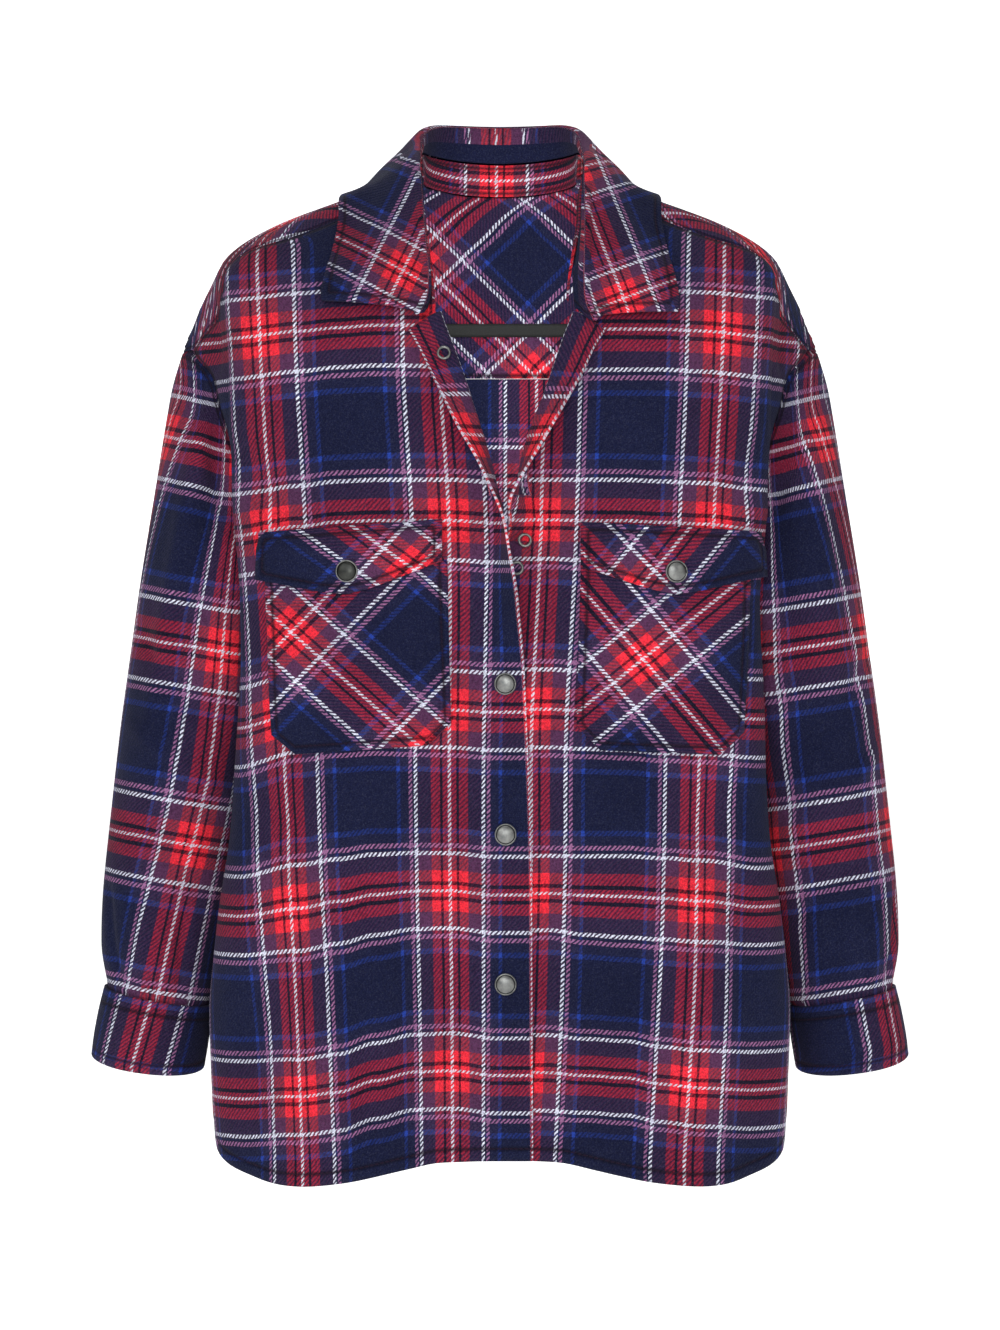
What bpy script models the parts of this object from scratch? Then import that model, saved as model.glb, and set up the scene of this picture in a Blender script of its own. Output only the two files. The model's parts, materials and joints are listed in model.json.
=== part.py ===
"""A plaid flannel shirt jacket, filled out with no wearer: cloth walls, pockets, collar and snaps.

The tables are in millimetres and MM turns them into metres. +Z is up, the front faces -Y, and the
origin is in the middle of the neck opening, level with the seams of the shoulders. 'right' is the
wearer's right, at -X. A section place is (s, z): s is 0 at the front centre, 1 at the front fold,
2 at the side and 3 at the back centre.
"""

import math

import bmesh
import bpy
import numpy as np
from mathutils import Vector

MM = 0.001
OBJECT_NAME = "shacket"

# Cloth and seams; SIDE_GAP is half a seam gap as a share of the section's 75 mm side stretch
CLOTH = 1.8
DOUBLE_CLOTH = 2.6
SEAM_GAP = 0.3
LAYER_GAP = 0.6
SIDE_GAP = SEAM_GAP / 2 / 75.0

# The overlap of the fronts
BAND_WIDTH = 30.0
BAND_CORNER_DROP = 19.0
BAND_CORNER_REACH = 30.0
ROLL_RADIUS = 3.6
OVERLAP_STEP = 1.6
OVERLAP_RAMP = (34.0, 52.0)
OVERLAP_TOP_Z = (-235.0, -275.0)

# Snaps
PLACKET_CAP_RADIUS = 7.9
FLAP_CAP_RADIUS = 8.1
CAP_HEIGHT = 3.4
FIRST_CAP_LIFT = 1.0
RING_RADIUS = 4.2
RING_WIRE = 1.0
RING_COLUMNS = ("name", "side", "z", "reach", "outer_face", "lift")
RINGS = (
    ("ring_band_right", "right", -131.0, 16.0, False, LAYER_GAP),
    ("ring_left_1", "left", -286.0, 11.0, True, LAYER_GAP),
    ("ring_left_2", "left", -266.0, 15.0, True, 2.0),
)

# The body by height: half widths and depths of the section at its named places.
BODY_COLUMNS = (
    "z", "front_y", "crest_x", "crest_y", "valley_x", "valley_y", "side_x", "corner_x", "corner_y", "rear_y",
)
BODY = (
    (14, 14, 36, 7, 38, 4, 39, 34, 14, 22),
    (8, 26, 56, 13, 59, 7, 60, 52, 26, 42),
    (0, 39, 80, 19, 85, 10, 86, 74, 39, 62),
    (-9, 46, 102, 23, 108, 12, 109, 94, 46, 73),
    (-30, 58, 154, 29, 163, 15, 166, 143, 52, 84),
    (-49, 72, 184, 36, 195, 18, 198, 171, 57, 91),
    (-72, 86, 201, 44, 209, 20, 213, 185, 60, 96),
    (-105, 101, 200, 56, 205, 36, 228, 199, 62, 101),
    (-124, 107, 198, 60, 204, 40, 235, 204, 62, 103),
    (-150, 111, 197, 62, 206, 42, 219, 205, 61, 104),
    (-200, 115, 196, 64, 194, 50, 188, 197, 60, 105),
    (-250, 117, 193, 64, 186, 49, 172, 189, 60, 104),
    (-296, 117, 189, 64, 178, 40, 167, 184, 60, 102),
    (-345, 117, 188, 64, 176, 40, 167, 182, 60, 100),
    (-400, 117, 190, 63, 180, 38, 171, 184, 60, 99),
    (-440, 118, 193, 60, 186, 36, 178, 188, 60, 100),
    (-485, 119, 197, 56, 193, 32, 187, 194, 58, 102),
    (-529, 120, 204, 52, 201, 28, 195, 200, 56, 104),
    (-573, 121, 209, 48, 207, 26, 201, 206, 54, 107),
    (-610, 121, 212, 46, 211, 24, 205, 209, 54, 109),
    (-650, 121, 211, 46, 211, 22, 207, 209, 56, 111),
    (-760, 120, 205, 50, 208, 24, 207, 204, 62, 113),
)
FRONT_ROUNDNESS = 2.9

# The neck seam: from the yoke's front seam down to the front end, and from there round to the back centre.
NECK_FRONT = ((0.60, -4), (0.40, -20), (0.285, -44), (0.235, -66), (0.215, -92))
NECK_YOKE = ((0.60, -4), (1.0, 5), (2.0, 8), (2.3, 6), (2.6, 2), (2.8, -1), (3.0, -2))

# The yoke's front seam from the neck to the armhole, and the height of its back seam.
YOKE_SEAM = (
    (0.60, -4), (0.68, -21), (0.73, -33), (0.79, -42), (0.93, -56), (1.0, -73), (1.42, -99), (1.80, -122),
)
BACK_SEAM_Z = -136.0

# The armhole from the shoulder tip to the underarm, down the front and down the back.
ARMHOLE_FRONT = (
    (2.0, -123), (1.80, -126), (1.58, -138), (1.42, -157), (1.38, -200), (1.42, -250), (1.62, -284),
    (2.0, -296),
)
ARMHOLE_BACK = (
    (2.0, -123), (2.10, -130), (2.19, -152), (2.23, -200), (2.21, -250), (2.12, -284), (2.0, -296),
)

# The hem round the section.
HEM = (
    (-0.15, -711), (0.1, -711), (0.19, -712), (0.3, -719), (0.42, -726), (0.53, -729), (0.66, -729),
    (0.76, -724), (0.86, -716), (0.94, -705), (1.0, -695), (1.4, -678), (2.0, -668), (2.16, -682),
    (2.4, -706), (2.7, -719), (3.0, -722),
)

# Where each front rolls back: distance of the roll from the centre on its own side, and turn in degrees.
FRONT_EDGE_COLUMNS = ("z", "roll_x", "turn")
RIGHT_EDGE = (
    (-90, 50, 180), (-109, 44, 180), (-134, 34.8, 175), (-148, 30, 168), (-165, 25, 154), (-187, 18.5, 138),
    (-204, 14, 122), (-229, 8.5, 104), (-251, 5, 90), (-279, 7.5, 70), (-303, 10.5, 48), (-323, 12.3, 33),
    (-341, 12.8, 18), (-358, 12.3, 8), (-380, 11.5, 2), (-423, 9.6, 0), (-488, 7.5, 0), (-595, 6.8, 0),
    (-760, 6, 0),
)
LEFT_EDGE = (
    (-90, 60, 180), (-106, 55, 180), (-120, 49.5, 180), (-134, 45, 172), (-150, 40, 160), (-161, 36.4, 150),
    (-190, 26, 130), (-212, 21, 108), (-228, 21, 84), (-240, 25.5, 58), (-250, 33, 30), (-259, 36, 8),
    (-268, 32, -4), (-282, 25, -3), (-303, 15, 0), (-340, 8, 0), (-423, 7, 0), (-760, 7, 0),
)
BAND_TOP_Z = -97.0

# The collar: where it rolls and where its outer edge lies, from the back centre to the front.
COLLAR_COLUMNS = ("roll_x", "roll_y", "roll_z", "edge_x", "edge_y", "edge_z", "swell", "stand")
RIGHT_COLLAR = (
    (0, 63, 51, 0, 92, -16, 4, 25),
    (24, 60, 51, 38, 90, -16, 4, 25),
    (45, 48, 50, 78, 72, -14, 4, 24),
    (56, 26, 43, 103, 34, -9, 3, 21),
    (58.5, 2, 31, 112, 0, -12, 2, 16),
    (59, -22, 20, 114, -28, -24, 2, 11),
    (58, -48, 4, 117, -52, -38, 3, 7),
    (56, -71, -24, 121, -74, -54, 4, 7),
    (53, -90, -54, 126, -92, -72, 4, 6),
    (51, -105, -84, 129, -103, -88, 3, 3.8),
    (58, -110, -104, 128, -106, -93, 2, 3.4),
)
LEFT_COLLAR = (
    (0, 63, 51, 0, 92, -16, 4, 25),
    (24, 60, 51, 38, 90, -16, 4, 25),
    (45, 48, 50, 78, 72, -14, 4, 24),
    (57, 26, 43, 103, 34, -9, 3, 21),
    (60, 2, 31, 112, 0, -12, 2, 16),
    (62, -22, 20, 114, -28, -24, 2, 11),
    (62, -48, 4, 117, -52, -38, 3, 7),
    (62, -71, -24, 121, -74, -54, 4, 7),
    (61, -90, -54, 126, -92, -74, 4, 6),
    (60, -105, -86, 129, -105, -93, 3, 3.8),
    (67, -112, -109, 128, -109, -101, 2, 3.4),
)

# A sleeve by rings: its outer and inner points, its depth before and behind, and how far it follows
# the armhole.
SLEEVE_COLUMNS = ("outer_x", "outer_z", "inner_x", "inner_z", "front_y", "back_y", "follow")
SLEEVE = (
    (236.5, -126, 171.5, -299, 52, 60, 1.0),
    (241, -146, 173.5, -308, 56, 60, 0.55),
    (247, -174, 175, -318, 58, 60, 0.2),
    (256, -230, 176, -338, 58, 59, 0.0),
    (266, -292, 177, -364, 57, 57, 0.0),
    (273, -342, 179, -392, 55, 55, 0.0),
    (281, -400, 184, -428, 53, 53, 0.0),
    (288, -462, 193, -476, 50, 50, 0.0),
    (294, -520, 202, -528, 46, 48, 0.0),
    (295.5, -560, 209, -570, 43, 44, 0.0),
    (291, -592, 216, -605, 38, 39, 0.0),
)
SLEEVE_CENTRE_Y = 2.0
CUFF_COLUMNS = ("outer_x", "outer_z", "inner_x", "inner_z", "front_y", "back_y", "front_drop")
CUFF = (
    (293, -594, 215.5, -607.5, 39, 40, 2),
    (297, -610, 216.5, -622, 40.5, 41, 4),
    (300.5, -628, 218.5, -638, 40.5, 41, 6),
    (302.5, -643, 221, -653, 39.5, 40, 8),
)

# Pockets and flaps: corners in the front view, width from the centre and height.
POCKET_COLUMNS = ("inner_x", "outer_x", "top_z", "inner_z", "outer_z", "corner_across", "corner_up")
POCKETS = {
    "right": (38, 169, -276, -412, -421, 17, 15),
    "left": (58, 180, -276, -416, -421, 17, 17),
}
POCKET_TAPER = 3.0
FLAP_COLUMNS = ("inner_x", "outer_x", "inner_top", "outer_top", "inner_low", "outer_low", "tip_x", "tip_z")
FLAPS = {
    "right": (41.5, 172, -251, -260, -281, -294, 108.7, -307),
    "left": (57.5, 186, -253, -259, -285, -291, 125, -307),
}
FLAP_RISE = 3.2
FLAP_LEAN = 1.6

# The tape across the inside of the yoke.
TAPE_HALF_WIDTH = 118.0
TAPE_TOP_Z = -94.0
TAPE_LOW_Z = -104.0
TAPE_THICKNESS = 1.2

PLACKET_SNAPS = (("snap_placket_1", -369.0), ("snap_placket_2", -477.0), ("snap_placket_3", -584.0))
PLACKET_SNAP_X = 4.0

RED = (0.42, 0.035, 0.045, 1)
NAVY = (0.022, 0.03, 0.075, 1)
PLUM = (0.12, 0.05, 0.09, 1)
BLACK_TAPE = (0.02, 0.022, 0.022, 1)
GUNMETAL = (0.22, 0.23, 0.22, 1)


def smooth(table, column_names, key, wanted, at):
    """Reads columns of a table at the places 'at' of its key column, on a smooth curve through the rows."""
    rows = np.array(table, float)
    key_at = column_names.index(key)
    order = np.argsort(rows[:, key_at])
    rows = rows[order]
    keys = rows[:, key_at]
    values = rows[:, [column_names.index(name) for name in wanted]]
    steps = np.diff(keys)[:, None]
    slopes = np.diff(values, axis=0) / steps
    between = (slopes[:-1] * steps[1:] + slopes[1:] * steps[:-1]) / (steps[1:] + steps[:-1])
    tangents = np.vstack([slopes[:1], between, slopes[-1:]])
    turning = slopes[:-1] * slopes[1:] < 0
    tangents[1:-1][turning] = 0
    at = np.clip(np.asarray(at, float), keys[0], keys[-1])
    cell = np.clip(np.searchsorted(keys, at, side="right") - 1, 0, len(keys) - 2)
    step = steps[cell]
    t = ((at - keys[cell])[..., None]) / step
    return (
        values[cell] * (2 * t**3 - 3 * t**2 + 1)
        + tangents[cell] * step * (t**3 - 2 * t**2 + t)
        + values[cell + 1] * (3 * t**2 - 2 * t**3)
        + tangents[cell + 1] * step * (t**3 - t**2)
    )


def along(points, at):
    """Points on a smooth curve through the given points, at places from 0 to 1 by number."""
    points = np.asarray(points, float)
    table = np.column_stack([np.linspace(0, 1, len(points)), points])
    names = ["at"] + [str(i) for i in range(points.shape[1])]
    return smooth(table, names, "at", names[1:], at)


def by_length(points, at):
    """Points on a fine polyline at fractions 'at' of its length."""
    lengths = np.concatenate([[0], np.cumsum(np.linalg.norm(np.diff(points, axis=0), axis=1))])
    places = np.asarray(at) * lengths[-1]
    return np.column_stack([np.interp(places, lengths, points[:, i]) for i in range(points.shape[1])])


# The section's three stretches are read once on a grid of heights, then looked up.
HEIGHTS = np.arange(-760.0, 14.1, 3.0)
STRETCH_STEPS = 60


def section_grid():
    """For each height, points spaced evenly along the front, side and back stretches of half the body."""
    fine = np.linspace(0, 1, 121)
    grid = []
    for z in HEIGHTS:
        row = dict(zip(BODY_COLUMNS[1:], smooth(BODY, BODY_COLUMNS, "z", BODY_COLUMNS[1:], z)))
        angle = fine * math.pi / 2
        front = np.column_stack([
            row["crest_x"] * np.sin(angle) ** (2 / FRONT_ROUNDNESS),
            -row["crest_y"] - (row["front_y"] - row["crest_y"]) * np.cos(angle) ** (2 / FRONT_ROUNDNESS),
        ])
        side = along([
            (row["crest_x"], -row["crest_y"]),
            (0.5 * (row["crest_x"] + row["valley_x"]) + 1.0, -0.5 * (row["crest_y"] + row["valley_y"])),
            (row["valley_x"], -row["valley_y"]),
            (0.4 * row["valley_x"] + 0.6 * row["side_x"], -0.45 * row["valley_y"]),
            (row["side_x"], 0),
        ], fine)
        back = along([
            (row["side_x"], 0),
            (0.35 * row["side_x"] + 0.65 * row["corner_x"], 0.62 * row["corner_y"]),
            (0.985 * row["corner_x"], row["corner_y"]),
            (0.84 * row["corner_x"], 0.30 * row["corner_y"] + 0.70 * row["rear_y"]),
            (0.55 * row["corner_x"], 0.05 * row["corner_y"] + 0.95 * row["rear_y"]),
            (0.25 * row["corner_x"], row["rear_y"]),
            (0, row["rear_y"]),
        ], fine)
        even = np.linspace(0, 1, STRETCH_STEPS + 1)
        stretches = [by_length(stretch, even) for stretch in (front, side, back)]
        grid.append(np.vstack([stretches[0], stretches[1][1:], stretches[2][1:]]))
    return np.array(grid)


SECTIONS = section_grid()


def body_points(s, z):
    """Points of the body's middle surface at section places (s, z); s below 0 lies past the front centre."""
    s, z = np.broadcast_arrays(np.asarray(s, float), np.asarray(z, float))
    column = np.clip(np.abs(s), 0, 3) * STRETCH_STEPS
    row = np.clip((z - HEIGHTS[0]) / (HEIGHTS[1] - HEIGHTS[0]), 0, len(HEIGHTS) - 1.001)
    i, j = row.astype(int), np.clip(column.astype(int), 0, 3 * STRETCH_STEPS - 1)
    p, q = (row - i)[..., None], (column - j)[..., None]
    low = SECTIONS[i, j] * (1 - q) + SECTIONS[i, j + 1] * q
    high = SECTIONS[i + 1, j] * (1 - q) + SECTIONS[i + 1, j + 1] * q
    flat = low * (1 - p) + high * p
    x = np.where(s < 0, -flat[..., 0], flat[..., 0])
    return np.stack([x, flat[..., 1], z], axis=-1)


def body_normals(s, z):
    """Outward unit normals of the body's middle surface."""
    reach_s, reach_z = 0.03, 4.0
    s, z = np.broadcast_arrays(np.asarray(s, float), np.asarray(z, float))
    z = np.clip(z, HEIGHTS[0] + reach_z, 10.0)
    across = body_points(s + reach_s, z) - body_points(s - reach_s, z)
    up = body_points(s, z + reach_z) - body_points(s, z - reach_z)
    normal = np.cross(across, up)
    return normal / np.linalg.norm(normal, axis=-1, keepdims=True)


def front_s(x, z):
    """The section place, between past the centre and the front fold, whose width is x at height z."""
    x, z = np.broadcast_arrays(np.asarray(x, float), np.asarray(z, float))
    low, high = np.full(x.shape, -0.6), np.full(x.shape, 1.0)
    for _ in range(30):
        middle = (low + high) / 2
        short = body_points(middle, z)[..., 0] < x
        low, high = np.where(short, middle, low), np.where(short, high, middle)
    return (low + high) / 2


def back_s(x, z):
    """The section place on the back whose width is x at height z."""
    x, z = np.broadcast_arrays(np.asarray(x, float), np.asarray(z, float))
    low, high = np.full(x.shape, 2.0), np.full(x.shape, 3.0)
    for _ in range(30):
        middle = (low + high) / 2
        wide = body_points(middle, z)[..., 0] > x
        low, high = np.where(wide, middle, low), np.where(wide, high, middle)
    return (low + high) / 2


def unit(vectors):
    return vectors / np.maximum(np.linalg.norm(vectors, axis=-1, keepdims=True), 1e-9)


def grid_normals(grid, closed=False):
    """Unit normals of a grid of points, columns crossed with rows."""
    if closed:
        wide = np.concatenate([grid[:, -1:], grid, grid[:, :1]], axis=1)
        across = wide[:, 2:] - wide[:, :-2]
    else:
        across = np.gradient(grid, axis=1)
    return unit(np.cross(across, np.gradient(grid, axis=0)))


def mirror(points):
    return points * np.array([-1.0, 1.0, 1.0])


def add_object(name, points, faces, material):
    """Adds a mesh object from points in millimetres."""
    mesh = bpy.data.meshes.new(name)
    mesh.from_pydata([tuple(point * MM) for point in np.asarray(points)], [], faces)
    form = bmesh.new()
    form.from_mesh(mesh)
    bmesh.ops.recalc_face_normals(form, faces=form.faces)
    form.to_mesh(mesh)
    form.free()
    obj = bpy.data.objects.new(name, mesh)
    obj.data.materials.append(material)
    bpy.data.collections[OBJECT_NAME].objects.link(obj)
    return obj


def wall(name, grid, normals, thickness, material, closed=False, cells=None):
    """A cloth wall: a grid of middle points made a closed solid with its rim. 'cells' may leave some out."""
    rows, columns = grid.shape[:2]
    outer = grid + normals * thickness / 2
    inner = grid - normals * thickness / 2
    points = np.concatenate([outer.reshape(-1, 3), inner.reshape(-1, 3)])
    under = rows * columns
    wide = columns if closed else columns - 1
    if cells is None:
        cells = np.ones((rows - 1, wide), bool)
    faces = []
    edges = {}
    for i in range(rows - 1):
        for j in range(wide):
            if not cells[i, j]:
                continue
            k = (j + 1) % columns
            corners = [i * columns + j, i * columns + k, (i + 1) * columns + k, (i + 1) * columns + j]
            faces.append(corners)
            faces.append([under + corner for corner in reversed(corners)])
            for a, b in zip(corners, corners[1:] + corners[:1]):
                if (b, a) in edges:
                    del edges[(b, a)]
                else:
                    edges[(a, b)] = True
    faces += [[b, a, under + a, under + b] for a, b in edges]
    used = sorted({corner for face in faces for corner in face})
    place = {corner: i for i, corner in enumerate(used)}
    faces = [[place[corner] for corner in face] for face in faces]
    return add_object(name, points[used], faces, material)


def clear_of_body(points, distance):
    """Moves points that lie nearer than 'distance' to the body's middle surface, or inside it, outwards."""
    s, z = np.meshgrid(np.linspace(0, 3, 181), np.arange(-150.0, 8.1, 3.0))
    surface, normals = body_points(s, z).reshape(-1, 3), body_normals(s, z).reshape(-1, 3)
    flat = points.reshape(-1, 3).copy()
    for _ in range(3):
        gaps = np.linalg.norm(flat[:, None] - surface[None], axis=2)
        nearest = gaps.argmin(axis=1)
        height = ((flat - surface[nearest]) * normals[nearest]).sum(axis=1)
        push = np.clip(distance - height, 0, None)
        flat += normals[nearest] * push[:, None]
    return flat.reshape(points.shape)


def clear_scene():
    for obj in list(bpy.data.objects):
        bpy.data.objects.remove(obj, do_unlink=True)
    collection = bpy.data.collections.new(OBJECT_NAME)
    bpy.context.scene.collection.children.link(collection)


def material(name, colour, roughness, metallic=0.0):
    made = bpy.data.materials.new(name)
    made.use_nodes = True
    shader = made.node_tree.nodes["Principled BSDF"]
    shader.inputs["Base Color"].default_value = colour
    shader.inputs["Roughness"].default_value = roughness
    shader.inputs["Metallic"].default_value = metallic
    return made


def side_sign(side):
    """The wearer's right lies at -X."""
    return -1.0 if side == "right" else 1.0


def place_on_side(points, side):
    return points * np.array([side_sign(side), 1.0, 1.0])


def hem_z(s):
    return smooth(HEM, ("s", "z"), "s", ("z",), s)[..., 0]


# Rows of a front: height at its edge and at its side, and the row where the neck seam ends.
FRONT_ROWS = (
    (-4, -122), (-22, -131), (-44, -141), (-66, -152), (-92, -164), (-101, -171), (-112, -179),
    (-124, -187), (-138, -196), (-153, -206), (-170, -216), (-187, -226), (-204, -237),
    (-220, -247), (-234, -256), (-245, -264), (-254, -270), (-262, -276), (-271, -282),
    (-284, -289), (-303, -296), (-325, -316), (-350, -340), (-380, -368), (-420, -404),
    (-465, -445), (-515, -490), (-565, -538), (-615, -588), (-665, -632), (-711, -668),
)
NECK_ROWS = 4
FRONT_STEPS = 12
SIDE_STEPS = 3
BAND_PLACES = (30.0, 21.0, 12.5, 8.5, 4.5)


def seam_places():
    """Where the points of the yoke's front seam lie, shared by the yoke and the front."""
    fold, end = 1.0, YOKE_SEAM[-1][0]
    forward = np.linspace(YOKE_SEAM[0][0], fold, FRONT_STEPS + 1)
    return np.concatenate([forward, np.linspace(fold, end, SIDE_STEPS + 1)[1:]])


def armhole_place(curve, z):
    """The place on one branch of the armhole at height z, and s = 2 below the underarm."""
    fine = along(curve, np.linspace(0, 1, 241))
    return np.where(z < curve[-1][1], 2.0, np.interp(-np.asarray(z, float), -fine[:, 1], fine[:, 0]))


def overlap_shift(side, x, z):
    """How far a front lies outside (right) or inside (left) the body's surface where the two overlap."""
    near = np.clip((OVERLAP_RAMP[1] - x) / (OVERLAP_RAMP[1] - OVERLAP_RAMP[0]), 0, 1)
    low = np.clip((OVERLAP_TOP_Z[0] - z) / (OVERLAP_TOP_Z[0] - OVERLAP_TOP_Z[1]), 0, 1)
    ease = near * near * (3 - 2 * near) * low * low * (3 - 2 * low)
    return (OVERLAP_STEP if side == "right" else -OVERLAP_STEP) * ease


def front_surface(side, s, z):
    """Middle points and normals of a front at section places, on its own side at +X."""
    points, normals = body_points(s, z), body_normals(s, z)
    return points + normals * overlap_shift(side, points[..., 0], z)[..., None], normals


def band_surface(side, z, reach):
    """Middle points and normals of the strip beyond the roll, 'reach' past it, on its own side at +X."""
    table = RIGHT_EDGE if side == "right" else LEFT_EDGE
    z, reach = np.broadcast_arrays(np.asarray(z, float), np.asarray(reach, float))
    edge = smooth(table, FRONT_EDGE_COLUMNS, "z", ("roll_x", "turn"), z)
    turn = np.radians(edge[..., 1])
    s = front_s(edge[..., 0], z)
    start, normal = front_surface(side, s, z)
    inward, _ = front_surface(side, s + 0.02, z)
    forward = unit(start - inward)
    normal = unit(normal - forward * (normal * forward).sum(-1, keepdims=True))
    bend = ROLL_RADIUS * math.pi
    rate = np.where(np.abs(turn) < 1e-3, 1e-3, turn) / bend
    curved = np.minimum(reach, bend)
    angle = rate * curved
    along_front = np.sin(angle) / rate + (reach - curved) * np.cos(angle)
    outward = (1 - np.cos(angle)) / rate + (reach - curved) * np.sin(angle)
    points = start + forward * along_front[..., None] + normal * outward[..., None]
    fade = np.exp(np.minimum(z - BAND_TOP_Z, 0) / BAND_CORNER_REACH)
    corner = BAND_CORNER_DROP * (reach / BAND_WIDTH) ** 1.5 * fade
    points[..., 2] -= corner
    normals = normal * np.cos(angle)[..., None] - forward * np.sin(angle)[..., None]
    return points, normals


def front_grid(side):
    """Middle points, normals and present cells of a front, on its own side at +X."""
    rows = np.array(FRONT_ROWS, float)
    edge_z, side_z = rows[:, 0], rows[:, 1]
    neck = along(NECK_FRONT, np.linspace(0, 1, NECK_ROWS + 1))
    table = RIGHT_EDGE if side == "right" else LEFT_EDGE
    roll = smooth(table, FRONT_EDGE_COLUMNS, "z", ("roll_x",), edge_z)[:, 0]
    edge_s = front_s(roll, edge_z)
    edge_s[: NECK_ROWS + 1] = neck[:, 0] * (1 - np.linspace(0, 1, NECK_ROWS + 1) ** 4)
    edge_s[: NECK_ROWS + 1] += edge_s[NECK_ROWS + 1] * np.linspace(0, 1, NECK_ROWS + 1) ** 4
    edge_z[: NECK_ROWS + 1] = neck[:, 1]
    side_s = armhole_place(ARMHOLE_FRONT, side_z)
    side_s = np.where(side_z <= -296, 2.0 - SIDE_GAP, side_s)
    side_s[0] = YOKE_SEAM[-1][0]
    forward = np.linspace(0, 1, FRONT_STEPS + 1)
    rear = np.linspace(0, 1, SIDE_STEPS + 1)[1:]
    s = np.hstack([
        edge_s[:, None] + (1 - edge_s[:, None]) * forward[None],
        1 + (side_s[:, None] - 1) * rear[None],
    ])
    share = (s - s[:, :1]) / (s[:, -1:] - s[:, :1])
    z = edge_z[:, None] + (side_z - edge_z)[:, None] * share
    down = ((edge_z - edge_z[0]) / (edge_z[-1] - edge_z[0]))[:, None]
    seam = smooth(YOKE_SEAM, ("s", "z"), "s", ("z",), s[0])[:, 0] - SEAM_GAP
    z += (seam - z[0])[None] * (1 - down) ** 6 + (hem_z(s[-1]) - z[-1])[None] * down**2
    points, normals = front_surface(side, s, z)
    reach = np.array(BAND_PLACES)[None]
    band_points, band_normals = band_surface(side, z[:, :1], reach)
    cells = np.ones((len(rows) - 1, len(BAND_PLACES) + s.shape[1] - 1), bool)
    cells[: NECK_ROWS + 1, : len(BAND_PLACES)] = False
    return np.concatenate([band_points, points], 1), np.concatenate([band_normals, normals], 1), cells


def build_front(side, look):
    grid, normals, cells = front_grid(side)
    wall("front_" + side, place_on_side(grid, side), place_on_side(normals, side), CLOTH, look, cells=cells)


YOKE_STEPS_ARMHOLE = 4
YOKE_STEPS_BACK = 9
NECK_AT_TIP = 0.42


def yoke_half():
    """Section places of half the yoke: rows from the neck outwards, columns from the front to the back."""
    first = np.linspace(0, 1, YOKE_STEPS_ARMHOLE + 1)
    corner_s = float(armhole_place(ARMHOLE_BACK, BACK_SEAM_Z))
    back_seam_z = BACK_SEAM_Z + SEAM_GAP / 2
    outer_arm = along([YOKE_SEAM[-1], ARMHOLE_BACK[0], ARMHOLE_BACK[1], (corner_s, back_seam_z)], first)
    back = np.linspace(corner_s, 3.0, YOKE_STEPS_BACK + 1)[1:]
    outer_back = np.column_stack([back, np.full(len(back), back_seam_z)])
    outer = np.vstack([outer_arm, outer_back])
    forward = np.linspace(0, NECK_AT_TIP, YOKE_STEPS_ARMHOLE + 1)
    places = np.concatenate([forward, np.linspace(NECK_AT_TIP, 1, YOKE_STEPS_BACK + 1)[1:]])
    inner = along(NECK_YOKE, places)
    seam_s = seam_places()
    down = ((seam_s - seam_s[0]) / (seam_s[-1] - seam_s[0]))[:, None, None] ** 0.8
    grid = inner[None] * (1 - down) + outer[None] * down
    seam = np.column_stack([seam_s, smooth(YOKE_SEAM, ("s", "z"), "s", ("z",), seam_s)[:, 0]])
    fade = np.linspace(1, 0, YOKE_STEPS_ARMHOLE + 1)
    for j, keep in enumerate(fade):
        grid[:, j] += (seam - grid[:, 0]) * keep if j else 0
    grid[:, 0] = seam
    return grid


def both_sides(half):
    """A half grid at +X, from its side to the middle, made whole from -X to +X."""
    return np.concatenate([mirror(half), half[:, -2::-1]], axis=1)


def build_yoke(look):
    places = yoke_half()
    points = both_sides(body_points(places[..., 0], places[..., 1]))
    normals = both_sides(body_normals(places[..., 0], places[..., 1]))
    wall("yoke", points, normals, CLOTH, look)


BACK_ROWS = (
    -136, -152, -172, -196, -222, -250, -275, -296, -325, -360, -400, -445, -490, -535, -580, -625, -668,
)
BACK_STEPS = 9


def back_half():
    """Section places of half the back: rows from the yoke down, columns from the side to the middle."""
    side_z = np.array(BACK_ROWS, float)
    side_s = np.where(side_z <= -296, 2.0 + SIDE_GAP, armhole_place(ARMHOLE_BACK, side_z))
    share = np.linspace(0, 1, BACK_STEPS + 1)[None]
    s = side_s[:, None] + (3 - side_s[:, None]) * share
    z = np.repeat(side_z[:, None], BACK_STEPS + 1, axis=1)
    down = ((side_z - side_z[0]) / (side_z[-1] - side_z[0]))[:, None]
    z += (BACK_SEAM_Z - SEAM_GAP / 2 - z[0])[None] * (1 - down) ** 6 + (hem_z(s[-1]) - z[-1])[None] * down**2
    return np.stack([s, z], axis=-1)


def build_back(look):
    places = back_half()
    points = both_sides(body_points(places[..., 0], places[..., 1]))
    normals = both_sides(body_normals(places[..., 0], places[..., 1]))
    wall("back", points, normals, CLOTH, look)


RING_STEPS = 22
SLEEVE_ROUNDNESS = 2.2
SLEEVE_START = 1.9
UNDERARM_CLEARANCE = 2.4


def round_power(value, power):
    return np.sign(value) * np.abs(value) ** power


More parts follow.
